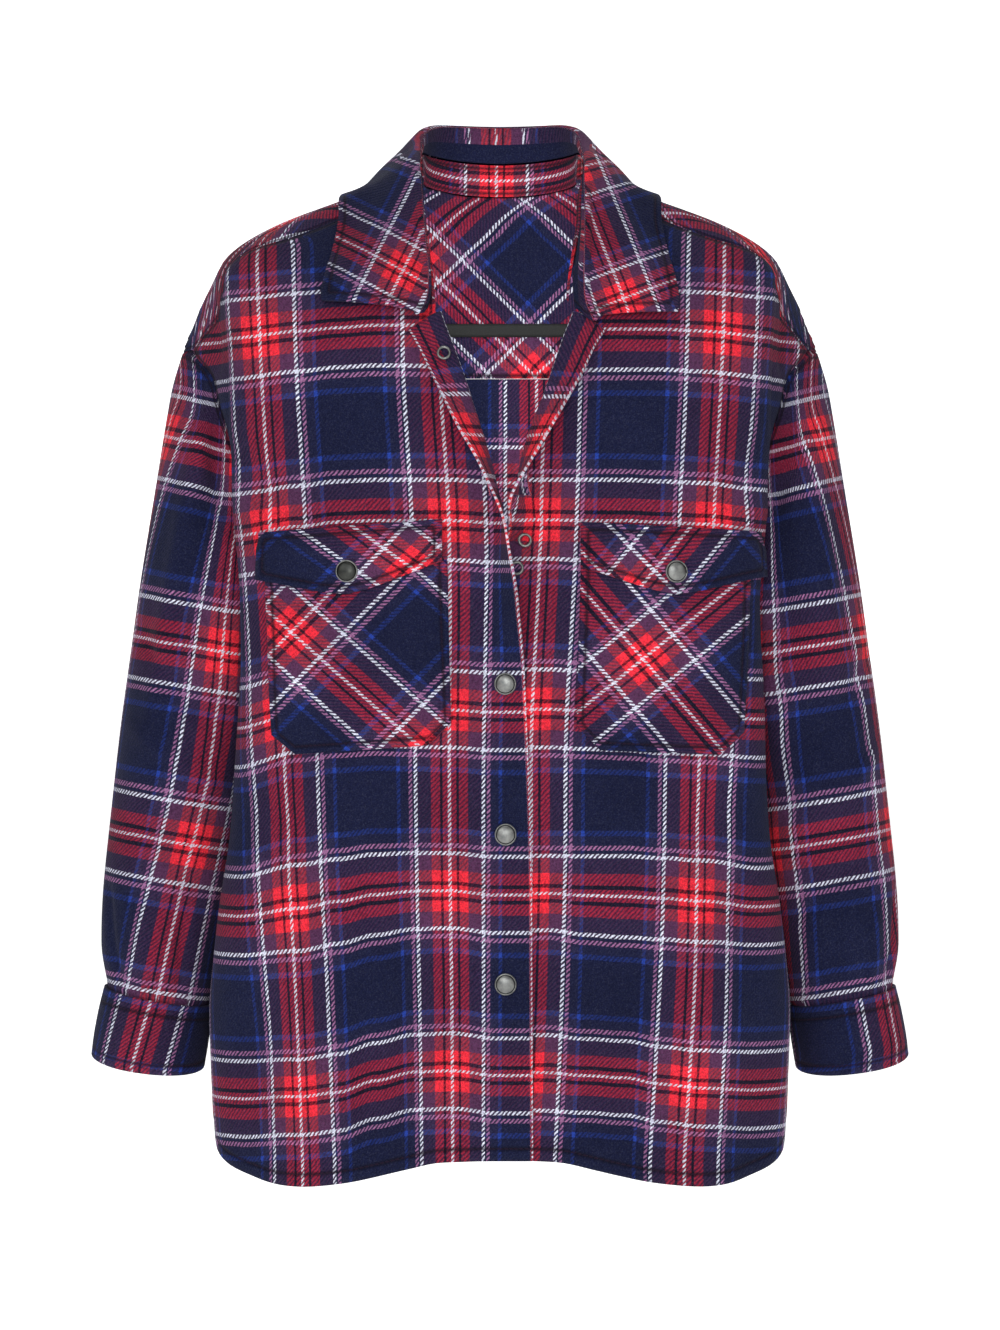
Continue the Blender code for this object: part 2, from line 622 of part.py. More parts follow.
def ring(outer_x, outer_z, inner_x, inner_z, front_y, back_y, front_drop=0.0):
    """A closed ring of points: outer point first, then the front, the inner point and the back."""
    angle = np.arange(RING_STEPS) / RING_STEPS * 2 * math.pi
    across = round_power(np.cos(angle), 2 / SLEEVE_ROUNDNESS)[:, None]
    forward = round_power(np.sin(angle), 2 / SLEEVE_ROUNDNESS)
    centre = np.array([(outer_x + inner_x) / 2, SLEEVE_CENTRE_Y, (outer_z + inner_z) / 2])
    half = np.array([(outer_x - inner_x) / 2, 0.0, (outer_z - inner_z) / 2])
    points = centre + across * half
    points[:, 1] -= np.where(forward > 0, front_y, back_y) * forward
    points[:, 2] -= front_drop * forward
    return points


def armhole_ring():
    """The armhole as a closed ring of points of the body, in the same order."""
    turn = np.arange(RING_STEPS) / RING_STEPS
    places = [
        along(ARMHOLE_FRONT, 2 * t) if t <= 0.5 else along(ARMHOLE_BACK, 2 - 2 * t)
        for t in turn
    ]
    places = np.array(places)
    return body_points(places[:, 0], places[:, 1]), body_normals(places[:, 0], places[:, 1])


def sleeve_grid():
    """Rings of middle points from the armhole to the cuff."""
    armhole, outward = armhole_ring()
    turn = np.arange(RING_STEPS) / RING_STEPS * 2 * math.pi
    beside = outward * (UNDERARM_CLEARANCE * (1 - np.cos(turn)) / 2)[:, None]
    rings = []
    for row in SLEEVE:
        sizes = dict(zip(SLEEVE_COLUMNS, row))
        follow = sizes.pop("follow")
        free = ring(**sizes)
        shift = free.mean(axis=0) - armhole.mean(axis=0)
        rings.append(follow * (armhole + shift) + (1 - follow) * free)
    tangent = unit(np.roll(armhole, -1, axis=0) - np.roll(armhole, 1, axis=0))
    start = rings[1] - armhole
    start = unit(start - tangent * (start * tangent).sum(-1, keepdims=True))
    rings[0] = armhole + start * SLEEVE_START + beside
    rings[1] = rings[1] + beside * 0.6
    return np.array(rings)


def build_sleeve(side, look):
    grid = sleeve_grid()
    normals = -grid_normals(grid, closed=True)
    wall("sleeve_" + side, place_on_side(grid, side), place_on_side(normals, side), CLOTH, look, closed=True)


def build_cuff(side, look):
    grid = np.array([ring(**dict(zip(CUFF_COLUMNS, row))) for row in CUFF])
    normals = -grid_normals(grid, closed=True)
    grid, normals = place_on_side(grid, side), place_on_side(normals, side)
    wall("cuff_" + side, grid, normals, DOUBLE_CLOTH, look, closed=True)


COLLAR_STEPS = 15
STAND_CLEARANCE = 2.7
STAND_FOOT = 1.5
LEAF_CLEARANCE = 4.2
LEAF_ROLL_RADIUS = 3.4
LEAF_START = 1.6
LEAF_START_FRONT = 6.0


def collar_stations(side):
    """Neck points, then the collar table's roll, edge, swell and stand, from the back centre forward."""
    table = RIGHT_COLLAR if side == "right" else LEFT_COLLAR
    at = np.linspace(0, 1, COLLAR_STEPS + 1)
    neck_back = along(NECK_YOKE, np.linspace(1, 0, 101))
    neck_places = np.vstack([neck_back, along(NECK_FRONT, np.linspace(0, 1, 61))[1:]])
    neck = by_length(body_points(neck_places[:, 0], neck_places[:, 1]), at)
    values = along(table, at)
    swell, stand = (values[:, COLLAR_COLUMNS.index(name)] for name in ("swell", "stand"))
    return neck, values[:, :3], values[:, 3:6], swell, stand


def stand_half(side):
    neck, roll, _, _, height = collar_stations(side)
    up = unit(roll - neck)
    share = np.linspace(0, 1, 3)[:, None, None]
    low = neck + up * STAND_FOOT
    open_part = int(0.5 * COLLAR_STEPS)
    low[open_part:] = clear_of_body(low[open_part:], STAND_CLEARANCE - 0.3)
    high = neck + up * height[:, None]
    grid = low[None] * (1 - share) + high[None] * share
    grid[1:] = clear_of_body(grid[1:], STAND_CLEARANCE)
    return grid


def leaf_half(side):
    neck, roll, edge, swell, height = collar_stations(side)
    up = unit(roll - neck)
    fall = edge - roll
    out = unit(fall - up * (fall * up).sum(-1, keepdims=True))
    radius = LEAF_ROLL_RADIUS
    forward = np.linspace(-1, 1, len(height)).clip(0)
    start = neck + up * (height + LEAF_START + LEAF_START_FRONT * forward)[:, None]
    roll = roll - up * radius * 0.9
    centre = roll + out * radius
    over = centre + out * radius
    side_way = unit(np.cross(np.gradient(edge, axis=0), edge - over))
    side_way *= np.sign((side_way * (up + out)).sum(-1, keepdims=True))
    top = centre + up * radius - out * radius * 0.25
    profile = [start, (start + roll) / 2, roll, top, over + up * radius * 0.35]
    for t in (0.22, 0.48, 0.74, 1.0):
        profile.append(over * (1 - t) + edge * t + side_way * swell[:, None] * math.sin(math.pi * t))
    profile = np.array(profile)
    profile[4:] = clear_of_body(profile[4:], LEAF_CLEARANCE)
    return profile


def joined_sides(right, left):
    """Two half grids at +X, from the middle to the side, joined from the right end to the left end."""
    return np.concatenate([mirror(right[:, ::-1]), left[:, 1:]], axis=1)


def build_collar(look):
    stand = joined_sides(stand_half("right"), stand_half("left"))
    wall("collar_stand", stand, grid_normals(stand), DOUBLE_CLOTH, look)
    leaf = joined_sides(leaf_half("right"), leaf_half("left"))
    wall("collar_leaf", leaf, grid_normals(leaf), DOUBLE_CLOTH, look)


def layer_on_front(side, x, z, height):
    """Points and normals on a front at front-view places, 'height' outside its middle surface."""
    s = front_s(x, z)
    points, normals = front_surface(side, s, z)
    return points + normals * np.asarray(height)[..., None], normals


def build_pocket(side, look):
    row = dict(zip(POCKET_COLUMNS, POCKETS[side]))
    width = row["outer_x"] - row["inner_x"]
    cut = row["corner_across"] / width
    u = np.array([0, cut / 2, cut, 0.3, 0.45, 0.6, 0.75, 1 - cut, 1 - cut / 2, 1])[None]
    v = np.linspace(0, 1, 9)[:, None]
    low = row["inner_z"] + (row["outer_z"] - row["inner_z"]) * u
    low = low + row["corner_up"] * np.clip(1 - np.minimum(u, 1 - u) / cut, 0, 1)
    z = row["top_z"] + (low - row["top_z"]) * v
    x = row["inner_x"] + width * u - POCKET_TAPER * v * (1 + u)
    height = np.full(x.shape, CLOTH + LAYER_GAP)
    points, normals = layer_on_front(side, x, z, height)
    wall("pocket_" + side, place_on_side(points, side), place_on_side(normals, side), CLOTH, look)


def flap_surface(side, u, v):
    """Middle points and normals of a flap: u from the inner to the outer edge, v from the top down, at +X."""
    row = dict(zip(FLAP_COLUMNS, FLAPS[side]))
    tip = (row["tip_x"] - row["inner_x"]) / (row["outer_x"] - row["inner_x"])
    top = row["inner_top"] + (row["outer_top"] - row["inner_top"]) * u
    inner_low = row["inner_low"] + (row["tip_z"] - row["inner_low"]) * u / tip
    outer_low = row["tip_z"] + (row["outer_low"] - row["tip_z"]) * (u - tip) / (1 - tip)
    low = np.where(u < tip, inner_low, outer_low) + 2.0 * np.exp(-(((u - tip) / 0.09) ** 2))
    z = top + (low - top) * v
    x = row["inner_x"] + (row["outer_x"] - row["inner_x"]) * u + 0 * v
    rise = np.clip((v * (top - low) - 3.0) / 11.0, 0, 1)
    bow = FLAP_RISE * rise * rise * (3 - 2 * rise) + FLAP_LEAN * v
    height = CLOTH / 2 + LAYER_GAP + DOUBLE_CLOTH / 2 + bow
    return layer_on_front(side, x, z, height)


def build_flap(side, look):
    u, v = np.linspace(0, 1, 13)[None], np.linspace(0, 1, 6)[:, None]
    points, normals = flap_surface(side, u + 0 * v, v + 0 * u)
    wall("flap_" + side, place_on_side(points, side), place_on_side(normals, side), DOUBLE_CLOTH, look)


def build_tape(look):
    x = np.linspace(-TAPE_HALF_WIDTH, TAPE_HALF_WIDTH, 17)[None]
    z = np.linspace(TAPE_TOP_Z, TAPE_LOW_Z, 3)[:, None] + 0 * x
    s = back_s(np.abs(x) + 0 * z, z)
    points, normals = body_points(s, z), body_normals(s, z)
    points[..., 0] *= np.sign(x)
    normals[..., 0] *= np.sign(x)
    points -= normals * (CLOTH / 2 + LAYER_GAP + TAPE_THICKNESS / 2)
    wall("yoke_tape", points, normals, TAPE_THICKNESS, look)


def turned(name, profile, place, facing, look, steps=18):
    """A turned solid: a closed profile of (radius, height) swept round its axis, along 'facing'."""
    mesh = bpy.data.meshes.new(name)
    points = [(radius * MM, 0.0, height * MM) for radius, height in profile]
    mesh.from_pydata(points, [(i, i + 1) for i in range(len(points) - 1)], [])
    obj = bpy.data.objects.new(name, mesh)
    obj.data.materials.append(look)
    bpy.data.collections[OBJECT_NAME].objects.link(obj)
    screw = obj.modifiers.new("Turn", "SCREW")
    screw.steps = screw.render_steps = steps
    screw.use_merge_vertices = True
    screw.merge_threshold = 0.00001
    obj.location = [value * MM for value in place]
    obj.rotation_mode = "QUATERNION"
    obj.rotation_quaternion = facing_turn(facing)
    return obj


def facing_turn(facing):
    return Vector([float(value) for value in facing]).to_track_quat("Z", "Y")


def cap_profile(radius):
    """A snap cap: domed disc with a rolled rim, from its domed top down to its flat back."""
    return (
        (0, CAP_HEIGHT), (radius * 0.45, CAP_HEIGHT * 0.96), (radius * 0.8, CAP_HEIGHT * 0.82),
        (radius * 0.94, CAP_HEIGHT * 0.6), (radius, CAP_HEIGHT * 0.35), (radius * 0.96, 0), (0, 0),
    )


def build_snaps(look):
    for name, z in PLACKET_SNAPS:
        s = front_s(-PLACKET_SNAP_X, z)
        at_x = body_points(s, z)[0]
        edge = smooth(RIGHT_EDGE, FRONT_EDGE_COLUMNS, "z", ("roll_x",), z)[0]
        points, normals = band_surface("right", z, edge - at_x)
        point, normal = place_on_side(points, "right"), place_on_side(normals, "right")
        lift = FIRST_CAP_LIFT if z > -400 else 0.0
        seat = point + normal * (CLOTH / 2 + SEAM_GAP + lift)
        turned(name, cap_profile(PLACKET_CAP_RADIUS), seat, normal, look)
    for side in ("right", "left"):
        row = dict(zip(FLAP_COLUMNS, FLAPS[side]))
        tip = (row["tip_x"] - row["inner_x"]) / (row["outer_x"] - row["inner_x"])
        points, normals = flap_surface(side, np.array(tip), np.array(0.66))
        point, normal = place_on_side(points, side), place_on_side(normals, side)
        seat = point + normal * (DOUBLE_CLOTH / 2 + SEAM_GAP)
        turned("snap_flap_" + side, cap_profile(FLAP_CAP_RADIUS), seat, normal, look)


def build_ring(name, side, z, reach, outer_face, lift, look):
    """A small ring socket seated on the strip beyond a front's roll."""
    points, normals = band_surface(side, z, reach)
    point, normal = place_on_side(points, side), place_on_side(normals, side)
    facing = normal if outer_face else -normal
    seat = point + facing * (CLOTH / 2 + lift + RING_WIRE)
    bpy.ops.mesh.primitive_torus_add(
        major_radius=RING_RADIUS * MM, minor_radius=RING_WIRE * MM, major_segments=16, minor_segments=6,
        location=[value * MM for value in seat],
    )
    obj = bpy.context.object
    obj.name = name
    obj.rotation_mode = "QUATERNION"
    obj.rotation_quaternion = facing_turn(facing)
    obj.data.materials.append(look)
    for collection in list(obj.users_collection):
        collection.objects.unlink(obj)
    bpy.data.collections[OBJECT_NAME].objects.link(obj)


def main():
    clear_scene()
    red = material("red_flannel", RED, 0.95)
    navy = material("navy_flannel", NAVY, 0.95)
    plum = material("plum_flannel", PLUM, 0.95)
    tape = material("black_tape", BLACK_TAPE, 0.7)
    metal = material("gunmetal", GUNMETAL, 0.32, 1.0)
    build_back(navy)
    build_yoke(plum)
    for side in ("right", "left"):
        build_front(side, red)
        build_sleeve(side, navy)
        build_cuff(side, plum)
        build_pocket(side, navy)
        build_flap(side, plum)
    build_collar(red)
    build_tape(tape)
    build_snaps(metal)
    for row in RINGS:
        build_ring(**dict(zip(RING_COLUMNS, row)), look=metal)


main()
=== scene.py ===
# %% [markdown]
# This lesson dresses a plaid flannel shirt jacket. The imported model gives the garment's size and place, and
# every piece below is cut and bent to the same named sizes, only on a finer grid. Lengths are in millimetres
# and MM turns them into metres. +Z is up, the front faces -Y, and the wearer's right lies at -X.

import json
import math

import bmesh
import bpy
import numpy as np
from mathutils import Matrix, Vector

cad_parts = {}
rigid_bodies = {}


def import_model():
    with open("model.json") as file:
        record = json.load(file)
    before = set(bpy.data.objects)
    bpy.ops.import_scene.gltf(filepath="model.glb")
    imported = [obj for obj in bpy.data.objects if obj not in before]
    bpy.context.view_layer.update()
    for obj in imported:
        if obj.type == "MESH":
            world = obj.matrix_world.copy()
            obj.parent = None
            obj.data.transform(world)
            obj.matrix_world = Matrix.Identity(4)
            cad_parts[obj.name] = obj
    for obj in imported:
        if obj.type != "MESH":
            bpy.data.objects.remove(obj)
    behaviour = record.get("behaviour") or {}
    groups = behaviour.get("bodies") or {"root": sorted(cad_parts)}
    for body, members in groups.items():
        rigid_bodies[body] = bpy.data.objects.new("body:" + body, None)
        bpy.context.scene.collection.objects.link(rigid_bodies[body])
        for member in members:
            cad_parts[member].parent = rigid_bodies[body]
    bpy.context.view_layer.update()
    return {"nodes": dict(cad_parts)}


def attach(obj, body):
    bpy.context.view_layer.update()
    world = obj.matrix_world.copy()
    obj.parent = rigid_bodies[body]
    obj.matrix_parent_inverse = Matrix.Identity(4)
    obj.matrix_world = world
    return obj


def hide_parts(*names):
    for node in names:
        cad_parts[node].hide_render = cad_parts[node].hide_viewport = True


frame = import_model()
print("nodes:", len(frame["nodes"]))

# %% [markdown]
# A garment is described here as a maker would chart it: a body section at each height, then the neck, the
# yoke seam, the armholes and the hem as places on that body. The tables are those of the solids, so that
# the cloth lies where the solids are.

# %% Sizes of the garment
MM = 0.001

# Cloth and seams; SIDE_GAP is half a seam gap as a share of the section's 75 mm side stretch
CLOTH = 1.8
DOUBLE_CLOTH = 2.6
SEAM_GAP = 0.3
LAYER_GAP = 0.6
SIDE_GAP = SEAM_GAP / 2 / 75.0

# The overlap of the fronts
BAND_WIDTH = 30.0
BAND_CORNER_DROP = 19.0
BAND_CORNER_REACH = 30.0
ROLL_RADIUS = 3.6
OVERLAP_STEP = 1.6
OVERLAP_RAMP = (34.0, 52.0)
OVERLAP_TOP_Z = (-235.0, -275.0)

# Snaps
PLACKET_CAP_RADIUS = 7.9
FLAP_CAP_RADIUS = 8.1
CAP_HEIGHT = 3.4
FIRST_CAP_LIFT = 1.0
RING_RADIUS = 4.2
RING_WIRE = 1.0
# Each ring: its name and side, height, reach past the roll, whether it is on the outer face, and its lift.
RINGS = (
    ("ring_band_right", "right", -131.0, 16.0, False, LAYER_GAP),
    ("ring_left_1", "left", -286.0, 11.0, True, LAYER_GAP),
    ("ring_left_2", "left", -266.0, 15.0, True, 2.0),
)

# The body by height: half widths and depths of the section at its named places.
BODY_COLUMNS = (
    "z", "front_y", "crest_x", "crest_y", "valley_x", "valley_y", "side_x", "corner_x", "corner_y", "rear_y",
)
BODY = (
    (14, 14, 36, 7, 38, 4, 39, 34, 14, 22),
    (8, 26, 56, 13, 59, 7, 60, 52, 26, 42),
    (0, 39, 80, 19, 85, 10, 86, 74, 39, 62),
    (-9, 46, 102, 23, 108, 12, 109, 94, 46, 73),
    (-30, 58, 154, 29, 163, 15, 166, 143, 52, 84),
    (-49, 72, 184, 36, 195, 18, 198, 171, 57, 91),
    (-72, 86, 201, 44, 209, 20, 213, 185, 60, 96),
    (-105, 101, 200, 56, 205, 36, 228, 199, 62, 101),
    (-124, 107, 198, 60, 204, 40, 235, 204, 62, 103),
    (-150, 111, 197, 62, 206, 42, 219, 205, 61, 104),
    (-200, 115, 196, 64, 194, 50, 188, 197, 60, 105),
    (-250, 117, 193, 64, 186, 49, 172, 189, 60, 104),
    (-296, 117, 189, 64, 178, 40, 167, 184, 60, 102),
    (-345, 117, 188, 64, 176, 40, 167, 182, 60, 100),
    (-400, 117, 190, 63, 180, 38, 171, 184, 60, 99),
    (-440, 118, 193, 60, 186, 36, 178, 188, 60, 100),
    (-485, 119, 197, 56, 193, 32, 187, 194, 58, 102),
    (-529, 120, 204, 52, 201, 28, 195, 200, 56, 104),
    (-573, 121, 209, 48, 207, 26, 201, 206, 54, 107),
    (-610, 121, 212, 46, 211, 24, 205, 209, 54, 109),
    (-650, 121, 211, 46, 211, 22, 207, 209, 56, 111),
    (-760, 120, 205, 50, 208, 24, 207, 204, 62, 113),
)
FRONT_ROUNDNESS = 2.9

# The neck seam: from the yoke's front seam down to the front end, and from there round to the back centre.
NECK_FRONT = ((0.60, -4), (0.40, -20), (0.285, -44), (0.235, -66), (0.215, -92))
NECK_YOKE = ((0.60, -4), (1.0, 5), (2.0, 8), (2.3, 6), (2.6, 2), (2.8, -1), (3.0, -2))

# The yoke's front seam from the neck to the armhole, and the height of its back seam.
YOKE_SEAM = (
    (0.60, -4), (0.68, -21), (0.73, -33), (0.79, -42), (0.93, -56), (1.0, -73), (1.42, -99), (1.80, -122),
)
BACK_SEAM_Z = -136.0

# The armhole from the shoulder tip to the underarm, down the front and down the back.
ARMHOLE_FRONT = (
    (2.0, -123), (1.80, -126), (1.58, -138), (1.42, -157), (1.38, -200), (1.42, -250), (1.62, -284),
    (2.0, -296),
)
ARMHOLE_BACK = (
    (2.0, -123), (2.10, -130), (2.19, -152), (2.23, -200), (2.21, -250), (2.12, -284), (2.0, -296),
)

UNDERARM_Z = -296.0

# The hem round the section.
HEM = (
    (-0.15, -711), (0.1, -711), (0.19, -712), (0.3, -719), (0.42, -726), (0.53, -729), (0.66, -729),
    (0.76, -724), (0.86, -716), (0.94, -705), (1.0, -695), (1.4, -678), (2.0, -668), (2.16, -682),
    (2.4, -706), (2.7, -719), (3.0, -722),
)

# Where each front rolls back: height, distance of the roll from the centre on its own side, turn in degrees.
RIGHT_EDGE = (
    (-90, 50, 180), (-109, 44, 180), (-134, 34.8, 175), (-148, 30, 168), (-165, 25, 154), (-187, 18.5, 138),
    (-204, 14, 122), (-229, 8.5, 104), (-251, 5, 90), (-279, 7.5, 70), (-303, 10.5, 48), (-323, 12.3, 33),
    (-341, 12.8, 18), (-358, 12.3, 8), (-380, 11.5, 2), (-423, 9.6, 0), (-488, 7.5, 0), (-595, 6.8, 0),
    (-760, 6, 0),
)
LEFT_EDGE = (
    (-90, 60, 180), (-106, 55, 180), (-120, 49.5, 180), (-134, 45, 172), (-150, 40, 160), (-161, 36.4, 150),
    (-190, 26, 130), (-212, 21, 108), (-228, 21, 84), (-240, 25.5, 58), (-250, 33, 30), (-259, 36, 8),
    (-268, 32, -4), (-282, 25, -3), (-303, 15, 0), (-340, 8, 0), (-423, 7, 0), (-760, 7, 0),
)
FRONT_EDGE = {"right": RIGHT_EDGE, "left": LEFT_EDGE}
BAND_TOP_Z = -97.0

# The collar from the back centre to the front: where it rolls and where its outer edge lies (x, y, z), how
# far the leaf swells between them, and the stand's height.
RIGHT_COLLAR = (
    (0, 63, 51, 0, 92, -16, 4, 25),
    (24, 60, 51, 38, 90, -16, 4, 25),
    (45, 48, 50, 78, 72, -14, 4, 24),
    (56, 26, 43, 103, 34, -9, 3, 21),
    (58.5, 2, 31, 112, 0, -12, 2, 16),
    (59, -22, 20, 114, -28, -24, 2, 11),
    (58, -48, 4, 117, -52, -38, 3, 7),
    (56, -71, -24, 121, -74, -54, 4, 7),
    (53, -90, -54, 126, -92, -72, 4, 6),
    (51, -105, -84, 129, -103, -88, 3, 3.8),
    (58, -110, -104, 128, -106, -93, 2, 3.4),
)
LEFT_COLLAR = (
    (0, 63, 51, 0, 92, -16, 4, 25),
    (24, 60, 51, 38, 90, -16, 4, 25),
    (45, 48, 50, 78, 72, -14, 4, 24),
    (57, 26, 43, 103, 34, -9, 3, 21),
    (60, 2, 31, 112, 0, -12, 2, 16),
    (62, -22, 20, 114, -28, -24, 2, 11),
    (62, -48, 4, 117, -52, -38, 3, 7),
    (62, -71, -24, 121, -74, -54, 4, 7),
    (61, -90, -54, 126, -92, -74, 4, 6),
    (60, -105, -86, 129, -105, -93, 3, 3.8),
    (67, -112, -109, 128, -109, -101, 2, 3.4),
)
COLLAR = {"right": RIGHT_COLLAR, "left": LEFT_COLLAR}

# A sleeve by rings: its outer and inner points (x, z), its depth before and behind, and how far it follows
# the armhole. A cuff's last number is how far its front hangs down instead.
SLEEVE = (
    (236.5, -126, 171.5, -299, 52, 60, 1.0),
    (241, -146, 173.5, -308, 56, 60, 0.55),
    (247, -174, 175, -318, 58, 60, 0.2),
    (256, -230, 176, -338, 58, 59, 0.0),
    (266, -292, 177, -364, 57, 57, 0.0),
    (273, -342, 179, -392, 55, 55, 0.0),
    (281, -400, 184, -428, 53, 53, 0.0),
    (288, -462, 193, -476, 50, 50, 0.0),
    (294, -520, 202, -528, 46, 48, 0.0),
    (295.5, -560, 209, -570, 43, 44, 0.0),
    (291, -592, 216, -605, 38, 39, 0.0),
)
SLEEVE_CENTRE_Y = 2.0
CUFF = (
    (293, -594, 215.5, -607.5, 39, 40, 2),
    (297, -610, 216.5, -622, 40.5, 41, 4),
    (300.5, -628, 218.5, -638, 40.5, 41, 6),
    (302.5, -643, 221, -653, 39.5, 40, 8),
)

# Pockets: inner and outer edge from the centre, heights of the top and of the two low ends, and the cut
# corners' width and height.
POCKETS = {
    "right": (38, 169, -276, -412, -421, 17, 15),
    "left": (58, 180, -276, -416, -421, 17, 17),
}
POCKET_TAPER = 3.0
# Flaps: inner and outer edge, heights of the two top ends and the two low ends, and the tip.
FLAPS = {
    "right": (41.5, 172, -251, -260, -281, -294, 108.7, -307),
    "left": (57.5, 186, -253, -259, -285, -291, 125, -307),
}
FLAP_RISE = 3.2
FLAP_LEAN = 1.6

# The tape across the inside of the yoke.
TAPE_HALF_WIDTH = 118.0
TAPE_TOP_Z = -94.0
TAPE_LOW_Z = -104.0
TAPE_THICKNESS = 1.2

PLACKET_SNAPS = (("snap_placket_1", -369.0), ("snap_placket_2", -477.0), ("snap_placket_3", -584.0))
PLACKET_SNAP_X = 4.0

# %% [markdown]
# Tables give a few rows and the cloth needs hundreds, so these helpers draw a smooth curve through the rows.
# A cubic with slopes taken from its neighbours passes through every given size without waves between them.

# %% Smooth curves through the tables
def smooth(table, at):
    """A table's further columns at places 'at' of its first column, on a smooth curve through the rows."""
    rows = np.array(table, float)
    rows = rows[np.argsort(rows[:, 0])]
    keys, values = rows[:, 0], rows[:, 1:]
    steps = np.diff(keys)[:, None]
    slopes = np.diff(values, axis=0) / steps
    between = (slopes[:-1] * steps[1:] + slopes[1:] * steps[:-1]) / (steps[1:] + steps[:-1])
    tangents = np.vstack([slopes[:1], between, slopes[-1:]])
    turning = slopes[:-1] * slopes[1:] < 0
    tangents[1:-1][turning] = 0
    at = np.clip(np.asarray(at, float), keys[0], keys[-1])
    cell = np.clip(np.searchsorted(keys, at, side="right") - 1, 0, len(keys) - 2)
    step = steps[cell]
    t = ((at - keys[cell])[..., None]) / step
    return (
        values[cell] * (2 * t**3 - 3 * t**2 + 1)
        + tangents[cell] * step * (t**3 - 2 * t**2 + t)
        + values[cell + 1] * (3 * t**2 - 2 * t**3)
        + tangents[cell + 1] * step * (t**3 - t**2)
    )


def curve(table, at):
    """The second column of a table at places 'at' of its first."""
    return smooth(table, at)[..., 0]


def along(points, at):
    """Points on a smooth curve through the given points, at places from 0 to 1 by number."""
    return smooth(np.column_stack([np.linspace(0, 1, len(points)), points]), at)


def along_rows(grid, at):
    """A grid's rows at places from 0 to 1 down it, on smooth curves through the rows."""
    return along(grid.reshape(len(grid), -1), at).reshape((len(at),) + grid.shape[1:])


def by_length(points, at):
    """Points on a fine polyline at fractions 'at' of its length."""
    lengths = np.concatenate([[0], np.cumsum(np.linalg.norm(np.diff(points, axis=0), axis=1))])
    places = np.asarray(at) * lengths[-1]
    return np.column_stack([np.interp(places, lengths, points[:, i]) for i in range(points.shape[1])])


def refine(grid, row_steps, column_steps):
    """A coarse grid made fine: smooth curves down its columns and then along its rows."""
    for steps in (row_steps, column_steps):
        grid = np.swapaxes(along_rows(grid, np.linspace(0, 1, (len(grid) - 1) * steps + 1)), 0, 1)
    return grid


def ease(share):
    """Smooths a share from 0 to 1 so that it starts and ends level."""
    return share * share * (3 - 2 * share)


def unit(vectors):
    return vectors / np.maximum(np.linalg.norm(vectors, axis=-1, keepdims=True), 1e-9)


def square_to(vectors, directions):
    """Unit vectors with their part along the given unit directions taken out."""
    return unit(vectors - directions * (vectors * directions).sum(-1, keepdims=True))


def grid_normals(grid):
    """Unit normals of a grid of points, columns crossed with rows."""
    return unit(np.cross(np.gradient(grid, axis=1), np.gradient(grid, axis=0)))


def tube_normals(grid):
    """Unit normals of a tube of rings, away from its middle."""
    normals = grid_normals(grid)
    return normals * np.sign((normals * (grid - grid.mean(axis=1, keepdims=True))).sum())


def mirror(points):
    return points * np.array([-1.0, 1.0, 1.0])


def side_sign(side):
    """The wearer's right lies at -X."""
    return -1.0 if side == "right" else 1.0


def place_on_side(side, *vectors):
    """Points and normals at +X moved to their own side."""
    return [values * np.array([side_sign(side), 1.0, 1.0]) for values in vectors]


# %% [markdown]
# The body is a stack of sections, each in three stretches: the front, the side and the back. A place on it
# is (s, z), where s runs from 0 at the front centre over 1 at the fold and 2 at the side to 3 at the back.

# %% The body's surface
# The section's three stretches are read once on a grid of heights, then looked up.
HEIGHTS = np.arange(-760.0, 14.1, 3.0)
STRETCH_STEPS = 60
HALVINGS = 30


def section_grid():
    """For each height, points spaced evenly along the front, side and back stretches of half the body."""
    fine = np.linspace(0, 1, 121)
    grid = []
    for z in HEIGHTS:
        row = dict(zip(BODY_COLUMNS[1:], smooth(BODY, z)))
        angle, power = fine * math.pi / 2, 2 / FRONT_ROUNDNESS
        front = np.column_stack([
            row["crest_x"] * np.sin(angle) ** power,
            -row["crest_y"] - (row["front_y"] - row["crest_y"]) * np.cos(angle) ** power,
        ])
        side = along([
            (row["crest_x"], -row["crest_y"]),
            (0.5 * (row["crest_x"] + row["valley_x"]) + 1.0, -0.5 * (row["crest_y"] + row["valley_y"])),
            (row["valley_x"], -row["valley_y"]),
            (0.4 * row["valley_x"] + 0.6 * row["side_x"], -0.45 * row["valley_y"]),
            (row["side_x"], 0),
        ], fine)
        back = along([
            (row["side_x"], 0),
            (0.35 * row["side_x"] + 0.65 * row["corner_x"], 0.62 * row["corner_y"]),
            (0.985 * row["corner_x"], row["corner_y"]),
            (0.84 * row["corner_x"], 0.30 * row["corner_y"] + 0.70 * row["rear_y"]),
            (0.55 * row["corner_x"], 0.05 * row["corner_y"] + 0.95 * row["rear_y"]),
            (0.25 * row["corner_x"], row["rear_y"]),
            (0, row["rear_y"]),
        ], fine)
        even = np.linspace(0, 1, STRETCH_STEPS + 1)
        stretches = [by_length(stretch, even) for stretch in (front, side, back)]
        grid.append(np.vstack([stretches[0], stretches[1][1:], stretches[2][1:]]))
    return np.array(grid)


SECTIONS = section_grid()
STEP_LENGTHS = np.linalg.norm(np.diff(SECTIONS, axis=1), axis=2)
STRETCH_LENGTHS = STEP_LENGTHS.reshape(len(HEIGHTS), 3, STRETCH_STEPS).sum(axis=2)


def girth(s, z):
    """Length along the section from the front centre to place s at height z."""
    z = np.asarray(z, float)
    lengths = [np.interp(z, HEIGHTS, STRETCH_LENGTHS[:, k]) for k in range(3)]
    return sum(lengths[k] * np.clip(s - k, -1 if k == 0 else 0, 1) for k in range(3))


